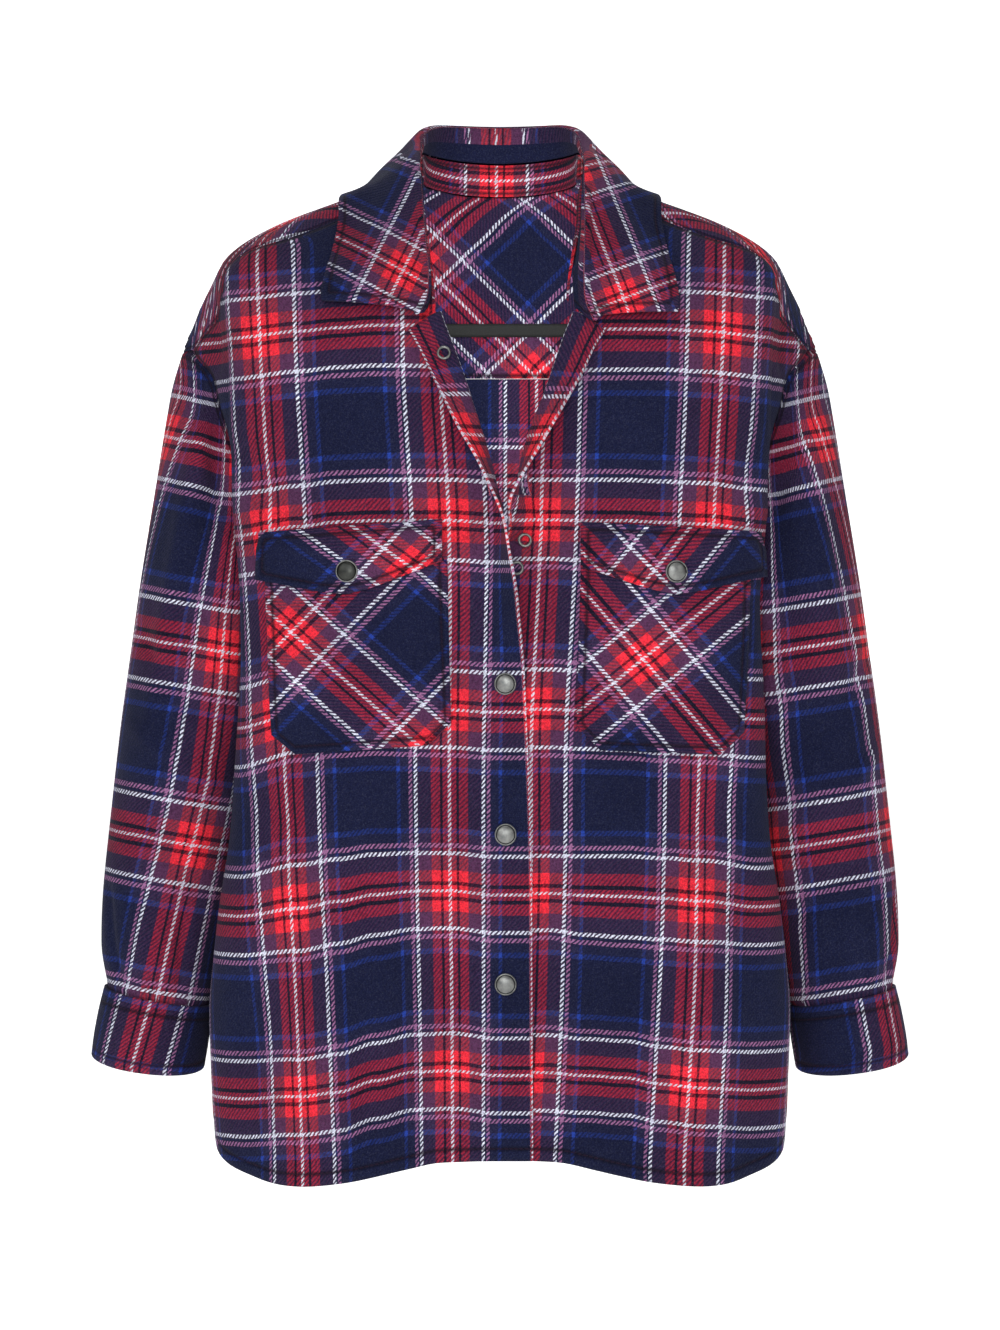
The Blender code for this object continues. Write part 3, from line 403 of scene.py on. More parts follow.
def body_points(s, z):
    """Points of the body's middle surface at section places (s, z); s below 0 lies past the front centre."""
    s, z = np.broadcast_arrays(np.asarray(s, float), np.asarray(z, float))
    column = np.clip(np.abs(s), 0, 3) * STRETCH_STEPS
    row = np.clip((z - HEIGHTS[0]) / (HEIGHTS[1] - HEIGHTS[0]), 0, len(HEIGHTS) - 1.001)
    i, j = row.astype(int), np.clip(column.astype(int), 0, 3 * STRETCH_STEPS - 1)
    p, q = (row - i)[..., None], (column - j)[..., None]
    low = SECTIONS[i, j] * (1 - q) + SECTIONS[i, j + 1] * q
    high = SECTIONS[i + 1, j] * (1 - q) + SECTIONS[i + 1, j + 1] * q
    flat = low * (1 - p) + high * p
    x = np.where(s < 0, -flat[..., 0], flat[..., 0])
    return np.stack([x, flat[..., 1], z], axis=-1)


def body_normals(s, z):
    """Outward unit normals of the body's middle surface."""
    reach_s, reach_z = 0.03, 4.0
    s, z = np.broadcast_arrays(np.asarray(s, float), np.asarray(z, float))
    z = np.clip(z, HEIGHTS[0] + reach_z, 10.0)
    across = body_points(s + reach_s, z) - body_points(s - reach_s, z)
    up = body_points(s, z + reach_z) - body_points(s, z - reach_z)
    normal = np.cross(across, up)
    return normal / np.linalg.norm(normal, axis=-1, keepdims=True)


def place_of_width(x, z, narrow, wide):
    """The section place between the narrow and the wide end whose width is x at height z, by halving."""
    x, z = np.broadcast_arrays(np.asarray(x, float), np.asarray(z, float))
    low, high = np.full(x.shape, narrow), np.full(x.shape, wide)
    for _ in range(HALVINGS):
        middle = (low + high) / 2
        short = body_points(middle, z)[..., 0] < x
        low, high = np.where(short, middle, low), np.where(short, high, middle)
    return (low + high) / 2


def front_s(x, z):
    """The place of width x at height z between a little past the front centre and the fold."""
    return place_of_width(x, z, -0.6, 1.0)


def back_s(x, z):
    """The place of width x at height z on the back."""
    return place_of_width(x, z, 3.0, 2.0)


def clear_of_body(points, distance):
    """Moves points that lie nearer than 'distance' to the body's middle surface, or inside it, outwards."""
    s, z = np.meshgrid(np.linspace(0, 3, 181), np.arange(-150.0, 8.1, 3.0))
    surface, normals = body_points(s, z).reshape(-1, 3), body_normals(s, z).reshape(-1, 3)
    flat = points.reshape(-1, 3).copy()
    for _ in range(3):
        gaps = np.linalg.norm(flat[:, None] - surface[None], axis=2)
        nearest = gaps.argmin(axis=1)
        height = ((flat - surface[nearest]) * normals[nearest]).sum(axis=1)
        push = np.clip(distance - height, 0, None)
        flat += normals[nearest] * push[:, None]
    return flat.reshape(points.shape)


print("half girth at the chest:", round(float(girth(3.0, -250.0))), "mm")

# %% [markdown]
# Soft flannel hangs in a few wide waves and a few sharper drags. A simulation would place them by chance, so
# each one is charted: a line in the front or back view, how wide it is, and how far it stands out
# (above 0) or sinks (below 0). They fade out at the side seams, so that the panels still meet there.

# %% Folds of the body
# Each fold runs from (x, z) to (x, z), and then come its width and its rise.
BODY_FOLDS = {
    "front": (
        (-84, -470, -90, -735, 26, -7.2), (-128, -520, -138, -735, 22, 5.1),
        (-176, -560, -184, -735, 20, -4.3), (-46, -500, -44, -735, 24, 3.6),
        (92, -520, 98, -735, 26, -6.5), (52, -560, 50, -735, 20, 3.6), (142, -500, 150, -735, 24, 4.3),
        (178, -440, 186, -735, 18, -4.3), (-196, -180, -150, -262, 13, -3.8),
        (-192, -232, -160, -262, 9, 2.9), (194, -176, 156, -262, 13, -3.5),
        (190, -226, 166, -268, 9, 2.6), (-172, -440, -120, -505, 16, -3.2),
        (176, -432, 128, -490, 16, -3.2), (-168, -330, -178, -470, 12, 2.6),
        (182, -300, 188, -460, 12, 2.6), (-62, -105, -40, -215, 15, -2.6),
        (66, -120, 44, -215, 15, -2.3), (-120, -120, -112, -225, 22, 2), (122, -126, 118, -228, 22, 2),
    ),
    "back": (
        (0, -160, 0, -735, 34, -5.8), (-62, -200, -72, -735, 26, 5.8), (66, -230, 78, -735, 26, 5.2),
        (-128, -320, -140, -735, 24, -6.4), (132, -280, 142, -735, 24, -5.8),
        (-176, -420, -186, -735, 20, 4.3), (174, -440, 188, -735, 20, 4.6),
        (-186, -190, -120, -330, 16, -4.1), (186, -200, 126, -320, 16, -3.8),
        (-170, -250, -90, -420, 18, 3.2), (168, -262, 96, -400, 18, 2.9),
    ),
}

# How far a fold sways from its straight line, and the height below which it runs out through the hem.
FOLD_SWAY = 3.0
HEM_FOLD_Z = -700.0
# Over how much of the section the folds fade at the side seam, and from where and how far at the open edge.
SIDE_FADE = 0.35
EDGE_FADE = (16.0, 22.0)


def fold_rise(x, z, face):
    """How far the folds of one face lift the cloth at a place of the front or back view."""
    total = np.zeros(np.broadcast(x, z).shape)
    for x0, z0, x1, z1, width, rise in BODY_FOLDS[face]:
        length = math.hypot(x1 - x0, z1 - z0)
        run_x, run_z, fade = (x1 - x0) / length, (z1 - z0) / length, 0.45 * length
        down = (x - x0) * run_x + (z - z0) * run_z
        aside = (x - x0) * run_z - (z - z0) * run_x + FOLD_SWAY * np.sin(down / 37.0 + x0)
        ends = np.clip(down / fade, 0, 1)
        if z1 > HEM_FOLD_Z:
            ends = ends * np.clip((length - down) / fade, 0, 1)
        total = total + rise * ease(ends) * np.exp(-((aside / width) ** 2))
    return total


def body_lift(s, z, side_x):
    """The folds' lift at section places; side_x is the world's x, so left and right may differ."""
    from_side = np.clip(np.abs(s - 2.0) / SIDE_FADE, 0, 1)
    from_band = np.clip((np.abs(side_x) - EDGE_FADE[0]) / EDGE_FADE[1], 0, 1)
    front = fold_rise(side_x, z, "front") * from_band
    back = fold_rise(side_x, z, "back")
    return np.where(s < 2.0, front, back) * ease(from_side)


print("folds on the body:", sum(len(rows) for rows in BODY_FOLDS.values()))

# %% [markdown]
# The plaid is woven, so it is a property of the cut cloth and not of the view. Each panel carries two maps:
# "Plaid" holds the place in the cloth in millimetres, with 0 on a red band's thin white line in both
# directions, and "Stitches" holds the distance inwards from a sewn line and the way along it.

# %% One panel from a grid
CLOTH_SLOT = "flannel"
TAPE_SLOT = "tape"
FAR_FROM_STITCH = 12.0
PLAIN_NAVY = (58.5, 65.5)


def lengths_along(grid, axis):
    """Running length of a grid of points along its rows (axis 1) or columns (axis 0)."""
    steps = np.linalg.norm(np.diff(grid, axis=axis), axis=2)
    start = np.zeros_like(np.take(steps, [0], axis=axis))
    return np.concatenate([start, np.cumsum(steps, axis=axis)], axis=axis)


def inset_line(grid, inset, top=True, bottom=True, left=True, right=True):
    """Distance inside a line sewn 'inset' from the named edges of a grid, never more than FAR_FROM_STITCH."""
    across, down = lengths_along(grid, 1), lengths_along(grid, 0)
    nearest = np.full(grid.shape[:2], math.inf)
    for use, distance in (
        (top, down), (bottom, down[-1:] - down), (left, across), (right, across[:, -1:] - across),
    ):
        if use:
            nearest = np.minimum(nearest, distance)
    return np.minimum(nearest - inset, FAR_FROM_STITCH)


def running_length(grid):
    """Running length across plus down, which spaces the stitches along a sewn line."""
    return lengths_along(grid, 1) + lengths_along(grid, 0)


def object_from(form, name, looks):
    """The smooth object of a bmesh, linked to the scene."""
    mesh = bpy.data.meshes.new(name)
    form.to_mesh(mesh)
    form.free()
    for look in looks:
        mesh.materials.append(look)
    for face in mesh.polygons:
        face.use_smooth = True
    made = bpy.data.objects.new(name, mesh)
    bpy.context.scene.collection.objects.link(made)
    return made


def finish_piece(piece, node):
    """Every piece rides on the one body and stands for its node."""
    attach(piece, "root")
    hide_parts(node)


def sew_panel(
    node, grid, normals, plaid, line, thickness,
    run=None, missing=None, closed=False, plain_rows=(0, 0), look=None, slot=CLOTH_SLOT,
):
    """Builds a cloth panel: a bmesh grid bent to 'grid', its maps, its seam closed, and its thickness."""
    rows, columns = grid.shape[:2]
    stitches = np.stack([line, running_length(grid) if run is None else run], axis=-1)
    form = bmesh.new()
    plaid_map = form.loops.layers.uv.new("Plaid")
    stitch_map = form.loops.layers.uv.new("Stitches")
    bmesh.ops.create_grid(form, x_segments=columns - 1, y_segments=rows - 1, size=0.5)
    place = {
        vert: (round((0.5 - vert.co.y) * (rows - 1)), round((vert.co.x + 0.5) * (columns - 1)))
        for vert in form.verts
    }
    for face in form.faces:
        face_rows = [place[vert][0] for vert in face.verts]
        plain = plain_rows[0] <= min(face_rows) and max(face_rows) <= plain_rows[1]
        for loop in face.loops:
            row, column = place[loop.vert]
            loop[plaid_map].uv = PLAIN_NAVY if plain else plaid[row, column]
            loop[stitch_map].uv = stitches[row, column]
    for vert, (row, column) in place.items():
        vert.co = grid[row, column] * MM
    if missing is not None:
        cut = [f for f in form.faces if all(missing[place[v]] for v in f.verts)]
        bmesh.ops.delete(form, geom=cut, context="FACES")
    form.normal_update()
    facing = sum(f.normal.dot(Vector(normals[place[f.verts[0]]])) for f in form.faces)
    if facing < 0:
        bmesh.ops.reverse_faces(form, faces=form.faces)
    if closed:
        bmesh.ops.remove_doubles(form, verts=form.verts, dist=0.00002)
    piece = object_from(form, "cloth_" + node, [look or flannel])
    solid = piece.modifiers.new("Cloth thickness", "SOLIDIFY")
    solid.thickness = thickness * MM
    solid.offset = 0.0
    finish_piece(piece, node)


# %% [markdown]
# The cloth is a brushed twill. Each way of the cloth has its own run of stripes, and both are symmetric about
# a red band, so a triangle wave folds the place in the cloth into one half of the repeat and a colour ramp
# charts that half. The twill shows the lengthwise threads on one diagonal step and the crosswise
# threads on the next, which is what turns the white lines into slanting dashes. Sheen and a fine noise on the
# surface stand for the nap.

# %% The plaid flannel
WARP_REPEAT = 117.0
WEFT_REPEAT = 131.0
TWILL_STEP = 3.3
TWILL_SLOPE = 0.92
STRIPE_COLOURS = {
    "white": (222, 228, 242),
    "pink": (190, 128, 176),
    "red": (236, 47, 62),
    "dark": (34, 16, 30),
    "plum": (84, 48, 80),
    "dusk": (36, 36, 66),
    "blue": (36, 64, 156),
    "navy": (21, 26, 54),
}
# Where each stripe of the ground ends, from the middle of the red band outwards.
WARP_STRIPES = (
    ("red", 4.6), ("dark", 6.6), ("red", 13.0), ("plum", 24.0), ("dusk", 34.6), ("blue", 37.2),
    ("navy", 58.5),
)
WEFT_STRIPES = (
    ("red", 4.0), ("dark", 6.8), ("red", 14.6), ("plum", 29.0), ("dusk", 41.4), ("blue", 45.2),
    ("navy", 65.5),
)
# The light lines on that ground: colour, start, end and how much they cover.
WARP_LIGHTS = (("white", 0.0, 1.0, 0.85), ("white", 22.4, 25.0, 1.0), ("pink", 26.2, 28.6, 0.62))
WEFT_LIGHTS = (("white", 0.0, 0.9, 0.85), ("white", 25.8, 28.5, 1.0), ("pink", 31.0, 34.4, 0.66))


def linear(colour):
    """A screen colour from 0 to 255 as the linear colour that Blender works in."""
    parts = [value / 255 for value in colour]
    return tuple(p / 12.92 if p <= 0.04045 else ((p + 0.055) / 1.055) ** 2.4 for p in parts) + (1.0,)


class Wiring:
    """Adds nodes to one material, or to the world, and joins them with few words."""

    def __init__(self, owner):
        self.tree = owner.node_tree
        self.count = 0

    def node(self, kind, **settings):
        made = self.tree.nodes.new(kind)
        made.location = (-1400 + 180 * (self.count % 8), 500 - 220 * (self.count // 8))
        self.count += 1
        for key, value in settings.items():
            setattr(made, key, value)
        return made

    def join(self, source, target):
        self.tree.links.new(source, target)

    def math(self, operation, *values):
        made = self.node("ShaderNodeMath", operation=operation)
        for socket, value in zip(made.inputs, values):
            if isinstance(value, (int, float)):
                socket.default_value = value
            else:
                self.join(value, socket)
        return made.outputs[0]

    def mix(self, share, first, second, blend="MIX"):
        made = self.node("ShaderNodeMix", data_type="RGBA", blend_type=blend)
        for socket, value in zip((made.inputs[0], made.inputs[6], made.inputs[7]), (share, first, second)):
            if isinstance(value, (int, float, tuple)):
                socket.default_value = value
            else:
                self.join(value, socket)
        return made.outputs[2]

    def ramp(self, value, stops, interpolation="LINEAR", alpha=False):
        made = self.node("ShaderNodeValToRGB")
        made.color_ramp.interpolation = interpolation
        elements = made.color_ramp.elements
        while len(elements) > 1:
            elements.remove(elements[-1])
        elements[0].position, elements[0].color = stops[0]
        for position, colour in stops[1:]:
            elements.new(position).color = colour
        self.join(value, made.inputs[0])
        return made.outputs[1 if alpha else 0]

    def noise(self, place, scale, detail=2.0, roughness=0.6):
        made = self.node("ShaderNodeTexNoise")
        made.inputs["Scale"].default_value = scale
        made.inputs["Detail"].default_value = detail
        made.inputs["Roughness"].default_value = roughness
        self.join(place, made.inputs["Vector"])
        return made.outputs["Fac"]

    def place(self):
        return self.node("ShaderNodeTexCoord").outputs["Object"]

    def split(self, vector):
        made = self.node("ShaderNodeSeparateXYZ")
        self.join(vector, made.inputs[0])
        return made.outputs

    def bump(self, shader, height, strength, distance):
        made = self.node("ShaderNodeBump")
        made.inputs["Strength"].default_value = strength
        made.inputs["Distance"].default_value = distance
        self.join(height, made.inputs["Height"])
        self.join(made.outputs[0], shader.inputs["Normal"])


def stripe_stops(stripes, half_repeat):
    """Ramp stops for one half of a repeat: each colour starts where the one before it ends."""
    stops, start = [], 0.0
    for name, end in stripes:
        stops.append((start / half_repeat, linear(STRIPE_COLOURS[name])))
        start = end
    return stops


def light_stops(lights, half_repeat):
    """Ramp stops whose alpha is how much a light line covers, and 0 between the lines."""
    stops = []
    for name, start, end, cover in lights:
        colour = linear(STRIPE_COLOURS[name])[:3]
        stops.append((start / half_repeat, colour + (cover,)))
        stops.append((end / half_repeat, colour + (0.0,)))
    return stops


def greys(*stops):
    """Ramp stops from pairs of a place and a grey."""
    return [(place, (grey, grey, grey, 1)) for place, grey in stops]


def new_material(name, roughness, metallic=0.0):
    """A material with its shader and the wiring for it."""
    look = bpy.data.materials.new(name)
    look.use_nodes = True
    shader = look.node_tree.nodes["Principled BSDF"]
    shader.inputs["Roughness"].default_value = roughness
    shader.inputs["Metallic"].default_value = metallic
    return look, shader, Wiring(look)


def plaid_colour(wire, place, fuzz, wave):
    """The two ways' charted stripes, woven together, with the light lines as slanting dashes on top."""
    ways = []
    for at, stripes, lights, repeat, turn in (
        (place[0], WARP_STRIPES, WARP_LIGHTS, WARP_REPEAT, 1.9),
        (place[1], WEFT_STRIPES, WEFT_LIGHTS, WEFT_REPEAT, -1.9),
    ):
        half = repeat / 2
        fuzzy = wire.math("MULTIPLY_ADD", fuzz, 1.6, at)
        share = wire.math("DIVIDE", wire.math("PINGPONG", fuzzy, half), half)
        ground = wire.ramp(share, stripe_stops(stripes, half), "CONSTANT")
        ways.append((share, ground, light_stops(lights, half), turn))
    warp, weft = ways[0][1], ways[1][1]
    rough_wave = wire.math("MULTIPLY_ADD", wave, 0.36, wire.math("MULTIPLY", fuzz, 0.6))
    woven = wire.mix(wire.math("ADD", rough_wave, 0.5), warp, weft)
    colour = wire.mix(0.56, woven, wire.mix(1.0, warp, weft, "DARKEN"))
    for share, _, stops, turn in ways:
        light = wire.ramp(share, stops, "CONSTANT")
        cover = wire.ramp(share, stops, "CONSTANT", alpha=True)
        dashes = wire.math("MULTIPLY_ADD", wave, turn, wire.math("MULTIPLY_ADD", fuzz, 1.4, 0.4))
        dashes = wire.math("MINIMUM", wire.math("MAXIMUM", dashes, 0.03), 0.95)
        colour = wire.mix(wire.math("MULTIPLY", cover, dashes), colour, light)
    return colour


def flannel_material():
    """Brushed twill flannel: charted stripes both ways, slanting weave, sewn grooves darkened as painted
    shade, and nap with a pale haze of painted sheen.
    """
    look, shader, wire = new_material("plaid_flannel", 0.95)
    body = wire.place()
    place = wire.split(wire.node("ShaderNodeUVMap", uv_map="Plaid").outputs[0])
    fuzz = wire.math("SUBTRACT", wire.noise(body, 1300.0, 2.0, 0.7), 0.5)
    wander = wire.math("SUBTRACT", wire.noise(body, 240.0, 1.0), 0.5)
    slant = wire.math("MULTIPLY_ADD", place[1], -TWILL_SLOPE, place[0])
    slant = wire.math("MULTIPLY_ADD", wander, 2.2, slant)
    wave = wire.math("SINE", wire.math("MULTIPLY", slant, 2 * math.pi / TWILL_STEP))
    colour = plaid_colour(wire, place, fuzz, wave)
    nap_stops = [(0.3, (0.5, 0.5, 0.52, 1)), (0.7, (1.55, 1.5, 1.5, 1))]
    colour = wire.mix(1.0, colour, wire.ramp(wire.noise(body, 700.0, 3.0, 0.8), nap_stops), "MULTIPLY")
    # Painted sheen: a pale grey blue is mixed into the colour by noise, for light caught by the brushed nap.
    sheen_haze = wire.ramp(wire.noise(body, 950.0, 2.0, 0.8), greys((0.5, 0), (0.75, 0.14)))
    colour = wire.mix(sheen_haze, colour, linear((120, 122, 150)))
    worn_stops = [(0.35, (0.86, 0.86, 0.88, 1)), (0.7, (1.1, 1.09, 1.09, 1))]
    colour = wire.mix(1.0, colour, wire.ramp(wire.noise(body, 16.0, 3.0), worn_stops), "MULTIPLY")
    off_line, way = wire.split(wire.node("ShaderNodeUVMap", uv_map="Stitches").outputs[0])[:2]
    off_line = wire.math("ABSOLUTE", off_line)
    groove = wire.ramp(wire.math("DIVIDE", off_line, 3.0), greys((0.0, 1), (0.25, 0.75), (0.8, 0)))
    dash = wire.math("LESS_THAN", wire.math("PINGPONG", way, 1.7), 1.15)
    thread = wire.math("MULTIPLY", wire.math("LESS_THAN", off_line, 0.55), dash)
    # Painted shade: the colour is darkened towards near black in the sewn grooves, where shade falls.
    colour = wire.mix(wire.math("MULTIPLY", groove, 0.78), colour, linear((12, 10, 18)))
    colour = wire.mix(wire.math("MULTIPLY", thread, 0.5), colour, linear((48, 30, 50)))
    wire.join(colour, shader.inputs["Base Color"])
    pucker = wire.math("MULTIPLY", wire.math("SUBTRACT", wire.noise(body, 120.0, 1.0), 0.5), 0.5)
    height = wire.math("MULTIPLY_ADD", wave, 0.1, wire.math("MULTIPLY", fuzz, 0.7))
    height = wire.math("MULTIPLY_ADD", groove, wire.math("ADD", pucker, -1.0), height)
    wire.bump(shader, wire.math("MULTIPLY_ADD", thread, 0.35, height), 0.85, 0.001)
    for socket, value in (
        ("Sheen Weight", 0.05), ("Sheen Roughness", 0.5), ("Sheen Tint", (0.8, 0.8, 0.95, 1)),
        ("Specular IOR Level", 0.08),
    ):
        shader.inputs[socket].default_value = value
    return look


flannel = flannel_material()
print("stripes across and up:", len(WARP_STRIPES), len(WEFT_STRIPES))

# %% [markdown]
# The tape is a flat black ribbed weave, and the snaps are dark plated metal. Their ribs and brushing are
# small, so they are made in the material from Object coordinates. Darker copies of the metal are painted
# shade: one for the groove round each cap's face, and one for the face of the right flap's cap, inside its
# plain metal rim.

# %% The tape and the metal
def tape_material():
    look, shader, wire = new_material("ribbed_black_tape", 0.62)
    body = wire.place()
    ribs = wire.node("ShaderNodeTexWave", bands_direction="X")
    ribs.inputs["Scale"].default_value = 330.0
    ribs.inputs["Distortion"].default_value = 0.6
    wire.join(body, ribs.inputs["Vector"])
    grain = wire.noise(body, 1200.0, 2.0)
    shade = wire.ramp(grain, [(0.3, linear((13, 16, 15))), (0.75, linear((36, 39, 37)))])
    shade = wire.mix(wire.math("MULTIPLY", ribs.outputs["Fac"], 0.4), shade, linear((14, 15, 16)))
    wire.join(shade, shader.inputs["Base Color"])
    wire.bump(shader, ribs.outputs["Fac"], 0.6, 0.0004)
    return look


def metal_material(name, dark, light):
    look, shader, wire = new_material(name, 0.3, 1.0)
    body = wire.place()
    cloudy = wire.noise(body, 240.0, 4.0)
    shade = wire.ramp(cloudy, [(0.3, linear(dark)), (0.7, linear(light))])
    wire.join(shade, shader.inputs["Base Color"])
    rough = wire.math("MULTIPLY_ADD", wire.noise(body, 700.0, 3.0), 0.22, 0.3)
    wire.join(rough, shader.inputs["Roughness"])
    wire.bump(shader, cloudy, 0.15, 0.0002)
    return look


tape_look = tape_material()
metal = metal_material("dark_plated_metal", (104, 106, 106), (142, 143, 140))
# Painted shade: a dark copy of the plated metal for the groove round each cap's face.
groove_shade_metal = metal_material("shadowed_groove_metal", (26, 27, 28), (40, 41, 41))
# Painted shade: a darker copy of the same plated metal, for the face of the right flap's snap.
shaded_face_metal = metal_material("shaded_copy_plated_metal", (50, 52, 51), (70, 71, 68))

# %% [markdown]
# Each front is one cut: the panel from the roll to the side seam, and a strip beyond the roll. Above the
# first fastened snap the strip turns outwards and lies back on the panel, and below it the strip lies flat
# and makes the overlap. The right front laps over the left.

# %% The fronts' shape
# Heights of each row of a front's panel, at the open edge and at the side.
FRONT_ROWS = (
    (-4, -122), (-22, -131), (-44, -141), (-66, -152), (-92, -164), (-101, -171), (-112, -179),
    (-124, -187), (-138, -196), (-153, -206), (-170, -216), (-187, -226), (-204, -237),
    (-220, -247), (-234, -256), (-245, -264), (-254, -270), (-262, -276), (-271, -282),
    (-284, -289), (-303, -296), (-325, -316), (-350, -340), (-380, -368), (-420, -404),
    (-465, -445), (-515, -490), (-565, -538), (-615, -588), (-665, -632), (-711, -668),
)
NECK_ROWS = 4
FRONT_STEPS = 12
SIDE_STEPS = 3


def seam_places():
    """Where the points of the yoke's front seam lie, shared by the yoke and the front."""
    fold, end = 1.0, YOKE_SEAM[-1][0]
    forward = np.linspace(YOKE_SEAM[0][0], fold, FRONT_STEPS + 1)
    return np.concatenate([forward, np.linspace(fold, end, SIDE_STEPS + 1)[1:]])


def armhole_place(curve, z):
    """The place on one branch of the armhole at height z, and s = 2 below the underarm."""
    fine = along(curve, np.linspace(0, 1, 241))
    return np.where(z < curve[-1][1], 2.0, np.interp(-np.asarray(z, float), -fine[:, 1], fine[:, 0]))


def overlap_shift(side, x, z):
    """How far a front lies outside (right) or inside (left) the body's surface where the two overlap."""
    near = np.clip((OVERLAP_RAMP[1] - x) / (OVERLAP_RAMP[1] - OVERLAP_RAMP[0]), 0, 1)
    low = np.clip((OVERLAP_TOP_Z[0] - z) / (OVERLAP_TOP_Z[0] - OVERLAP_TOP_Z[1]), 0, 1)
    return -side_sign(side) * OVERLAP_STEP * ease(near) * ease(low)


def front_surface(side, s, z):
    """Middle points and normals of a front at section places, on its own side at +X."""
    points, normals = body_points(s, z), body_normals(s, z)
    return points + normals * overlap_shift(side, points[..., 0], z)[..., None], normals


def band_surface(side, z, reach):
    """Middle points and normals of the strip beyond the roll, 'reach' past it, on its own side at +X."""
    z, reach = np.broadcast_arrays(np.asarray(z, float), np.asarray(reach, float))
    edge = smooth(FRONT_EDGE[side], z)
    turn = np.radians(edge[..., 1])
    s = front_s(edge[..., 0], z)
    start, normal = front_surface(side, s, z)
    inward, _ = front_surface(side, s + 0.02, z)
    forward = unit(start - inward)
    normal = square_to(normal, forward)
    bend = ROLL_RADIUS * math.pi
    rate = np.where(np.abs(turn) < 1e-3, 1e-3, turn) / bend
    curved = np.minimum(reach, bend)
    angle = rate * curved
    along_front = np.sin(angle) / rate + (reach - curved) * np.cos(angle)
    outward = (1 - np.cos(angle)) / rate + (reach - curved) * np.sin(angle)
    points = start + forward * along_front[..., None] + normal * outward[..., None]
    fade = np.exp(np.minimum(z - BAND_TOP_Z, 0) / BAND_CORNER_REACH)
    corner = BAND_CORNER_DROP * (reach / BAND_WIDTH) ** 1.5 * fade
    points[..., 2] -= corner
    normals = normal * np.cos(angle)[..., None] - forward * np.sin(angle)[..., None]
    return points, normals


def front_places(side):
    """Section places of a front's panel on the coarse rows of the solid, at +X."""
    rows = np.array(FRONT_ROWS, float)
    edge_z, side_z = rows[:, 0], rows[:, 1]
    neck = along(NECK_FRONT, np.linspace(0, 1, NECK_ROWS + 1))
    edge_s = front_s(curve(FRONT_EDGE[side], edge_z), edge_z)
    near_neck = np.linspace(0, 1, NECK_ROWS + 1) ** 4
    edge_s[: NECK_ROWS + 1] = neck[:, 0] * (1 - near_neck) + edge_s[NECK_ROWS + 1] * near_neck
    edge_z[: NECK_ROWS + 1] = neck[:, 1]
    side_s = armhole_place(ARMHOLE_FRONT, side_z)
    side_s = np.where(side_z <= UNDERARM_Z, 2.0 - SIDE_GAP, side_s)
    side_s[0] = YOKE_SEAM[-1][0]
    forward = np.linspace(0, 1, FRONT_STEPS + 1)
    rear = np.linspace(0, 1, SIDE_STEPS + 1)[1:]
    s = np.hstack([
        edge_s[:, None] + (1 - edge_s[:, None]) * forward[None],
        1 + (side_s[:, None] - 1) * rear[None],
    ])
    share = (s - s[:, :1]) / (s[:, -1:] - s[:, :1])
    z = edge_z[:, None] + (side_z - edge_z)[:, None] * share
    down = ((edge_z - edge_z[0]) / (edge_z[-1] - edge_z[0]))[:, None]
    seam = curve(YOKE_SEAM, s[0]) - SEAM_GAP
    z += (seam - z[0])[None] * (1 - down) ** 6 + (curve(HEM, s[-1]) - z[-1])[None] * down**2
    return np.stack([s, z], axis=-1)


# %% [markdown]
# On the real fronts the stripes lean a little and the cross stripes sag towards the sides, because the cloth
# is fanned and drawn over the body. A few measured heights chart that for each side: where two red bands'
# white lines stand, and how far a cross stripe has sunk at each distance from the centre.

# %% The fronts' plaid
# Height, then the distance from the centre of the outer and of the inner white line.
STRIPE_CHART = {
    "right": (
        (-64, 176.7, 43.5), (-150, 171.6, 42.8), (-237, 166.3, 37.3), (-438, 154.3, 36.2),
        (-496, 152.2, 35.8), (-596, 145.4, 34.5), (-711, 140.3, 33.8),
    ),
    "left": (
        (-49, 163.6, 33), (-135, 160, 32), (-229, 154.8, 30), (-280, 152.5, 28.4), (-410, 143.5, 22.5),
        (-495, 141.6, 22.3), (-600, 138.2, 20), (-711, 132, 15.5),
    ),
}
# Heights of the cross stripes' white lines, and the place in the cloth of each.
CROSS_STRIPES = (
    (262, 393), (24, 131), (-111, 0), (-252, -131), (-387.8, -262), (-517.2, -393), (-645.5, -524),
    (-776, -655),
)
# Height, then how far a cross stripe has sunk at each of the distances of SAG_AT.
SAG_AT = (0, 36, 60, 90, 116, 145, 190)
SAG = {
    "right": (
        (-60, 4, 0, 0, 0, 2, 4, 7), (-225, 2, 0, 0, 0, 1, 4, 9), (-500, 3, 0, 0, 1.5, 5, 9, 18),
        (-560, 4, 0, 1, 6, 12, 17, 21), (-690, 4, 0, 1.5, 9, 17, 20, 24),
    ),
    "left": (
        (-60, 2, 2, 2, 2, 2, 2.5, 4.5), (-140, 3, 3, 3, 3, 3, 4, 7), (-225, 0, 0, 0, 0, 1, 2, 6),
        (-420, 0, 0, 1, 2, 4, 5, 8), (-500, 2, 2, 2.5, 2.5, 4, 6, 12), (-560, 2, 1.5, 5, 7, 9, 11, 14),
        (-690, 2, 2, 3, 6, 11, 14, 18),
    ),
}


def sag(side, x, z):
    """How far a cross stripe has sunk at a distance x from the centre."""
    table = smooth(SAG[side], z)
    x = np.clip(x, SAG_AT[0], SAG_AT[-1])
    total = np.zeros(np.shape(x))
    for k in range(len(SAG_AT) - 1):
        share = (x - SAG_AT[k]) / (SAG_AT[k + 1] - SAG_AT[k])
        inside = (share >= 0) & (share <= 1)
        between = table[..., k] * (1 - ease(share)) + table[..., k + 1] * ease(share)
        total = np.where(inside, between, total)
    return total


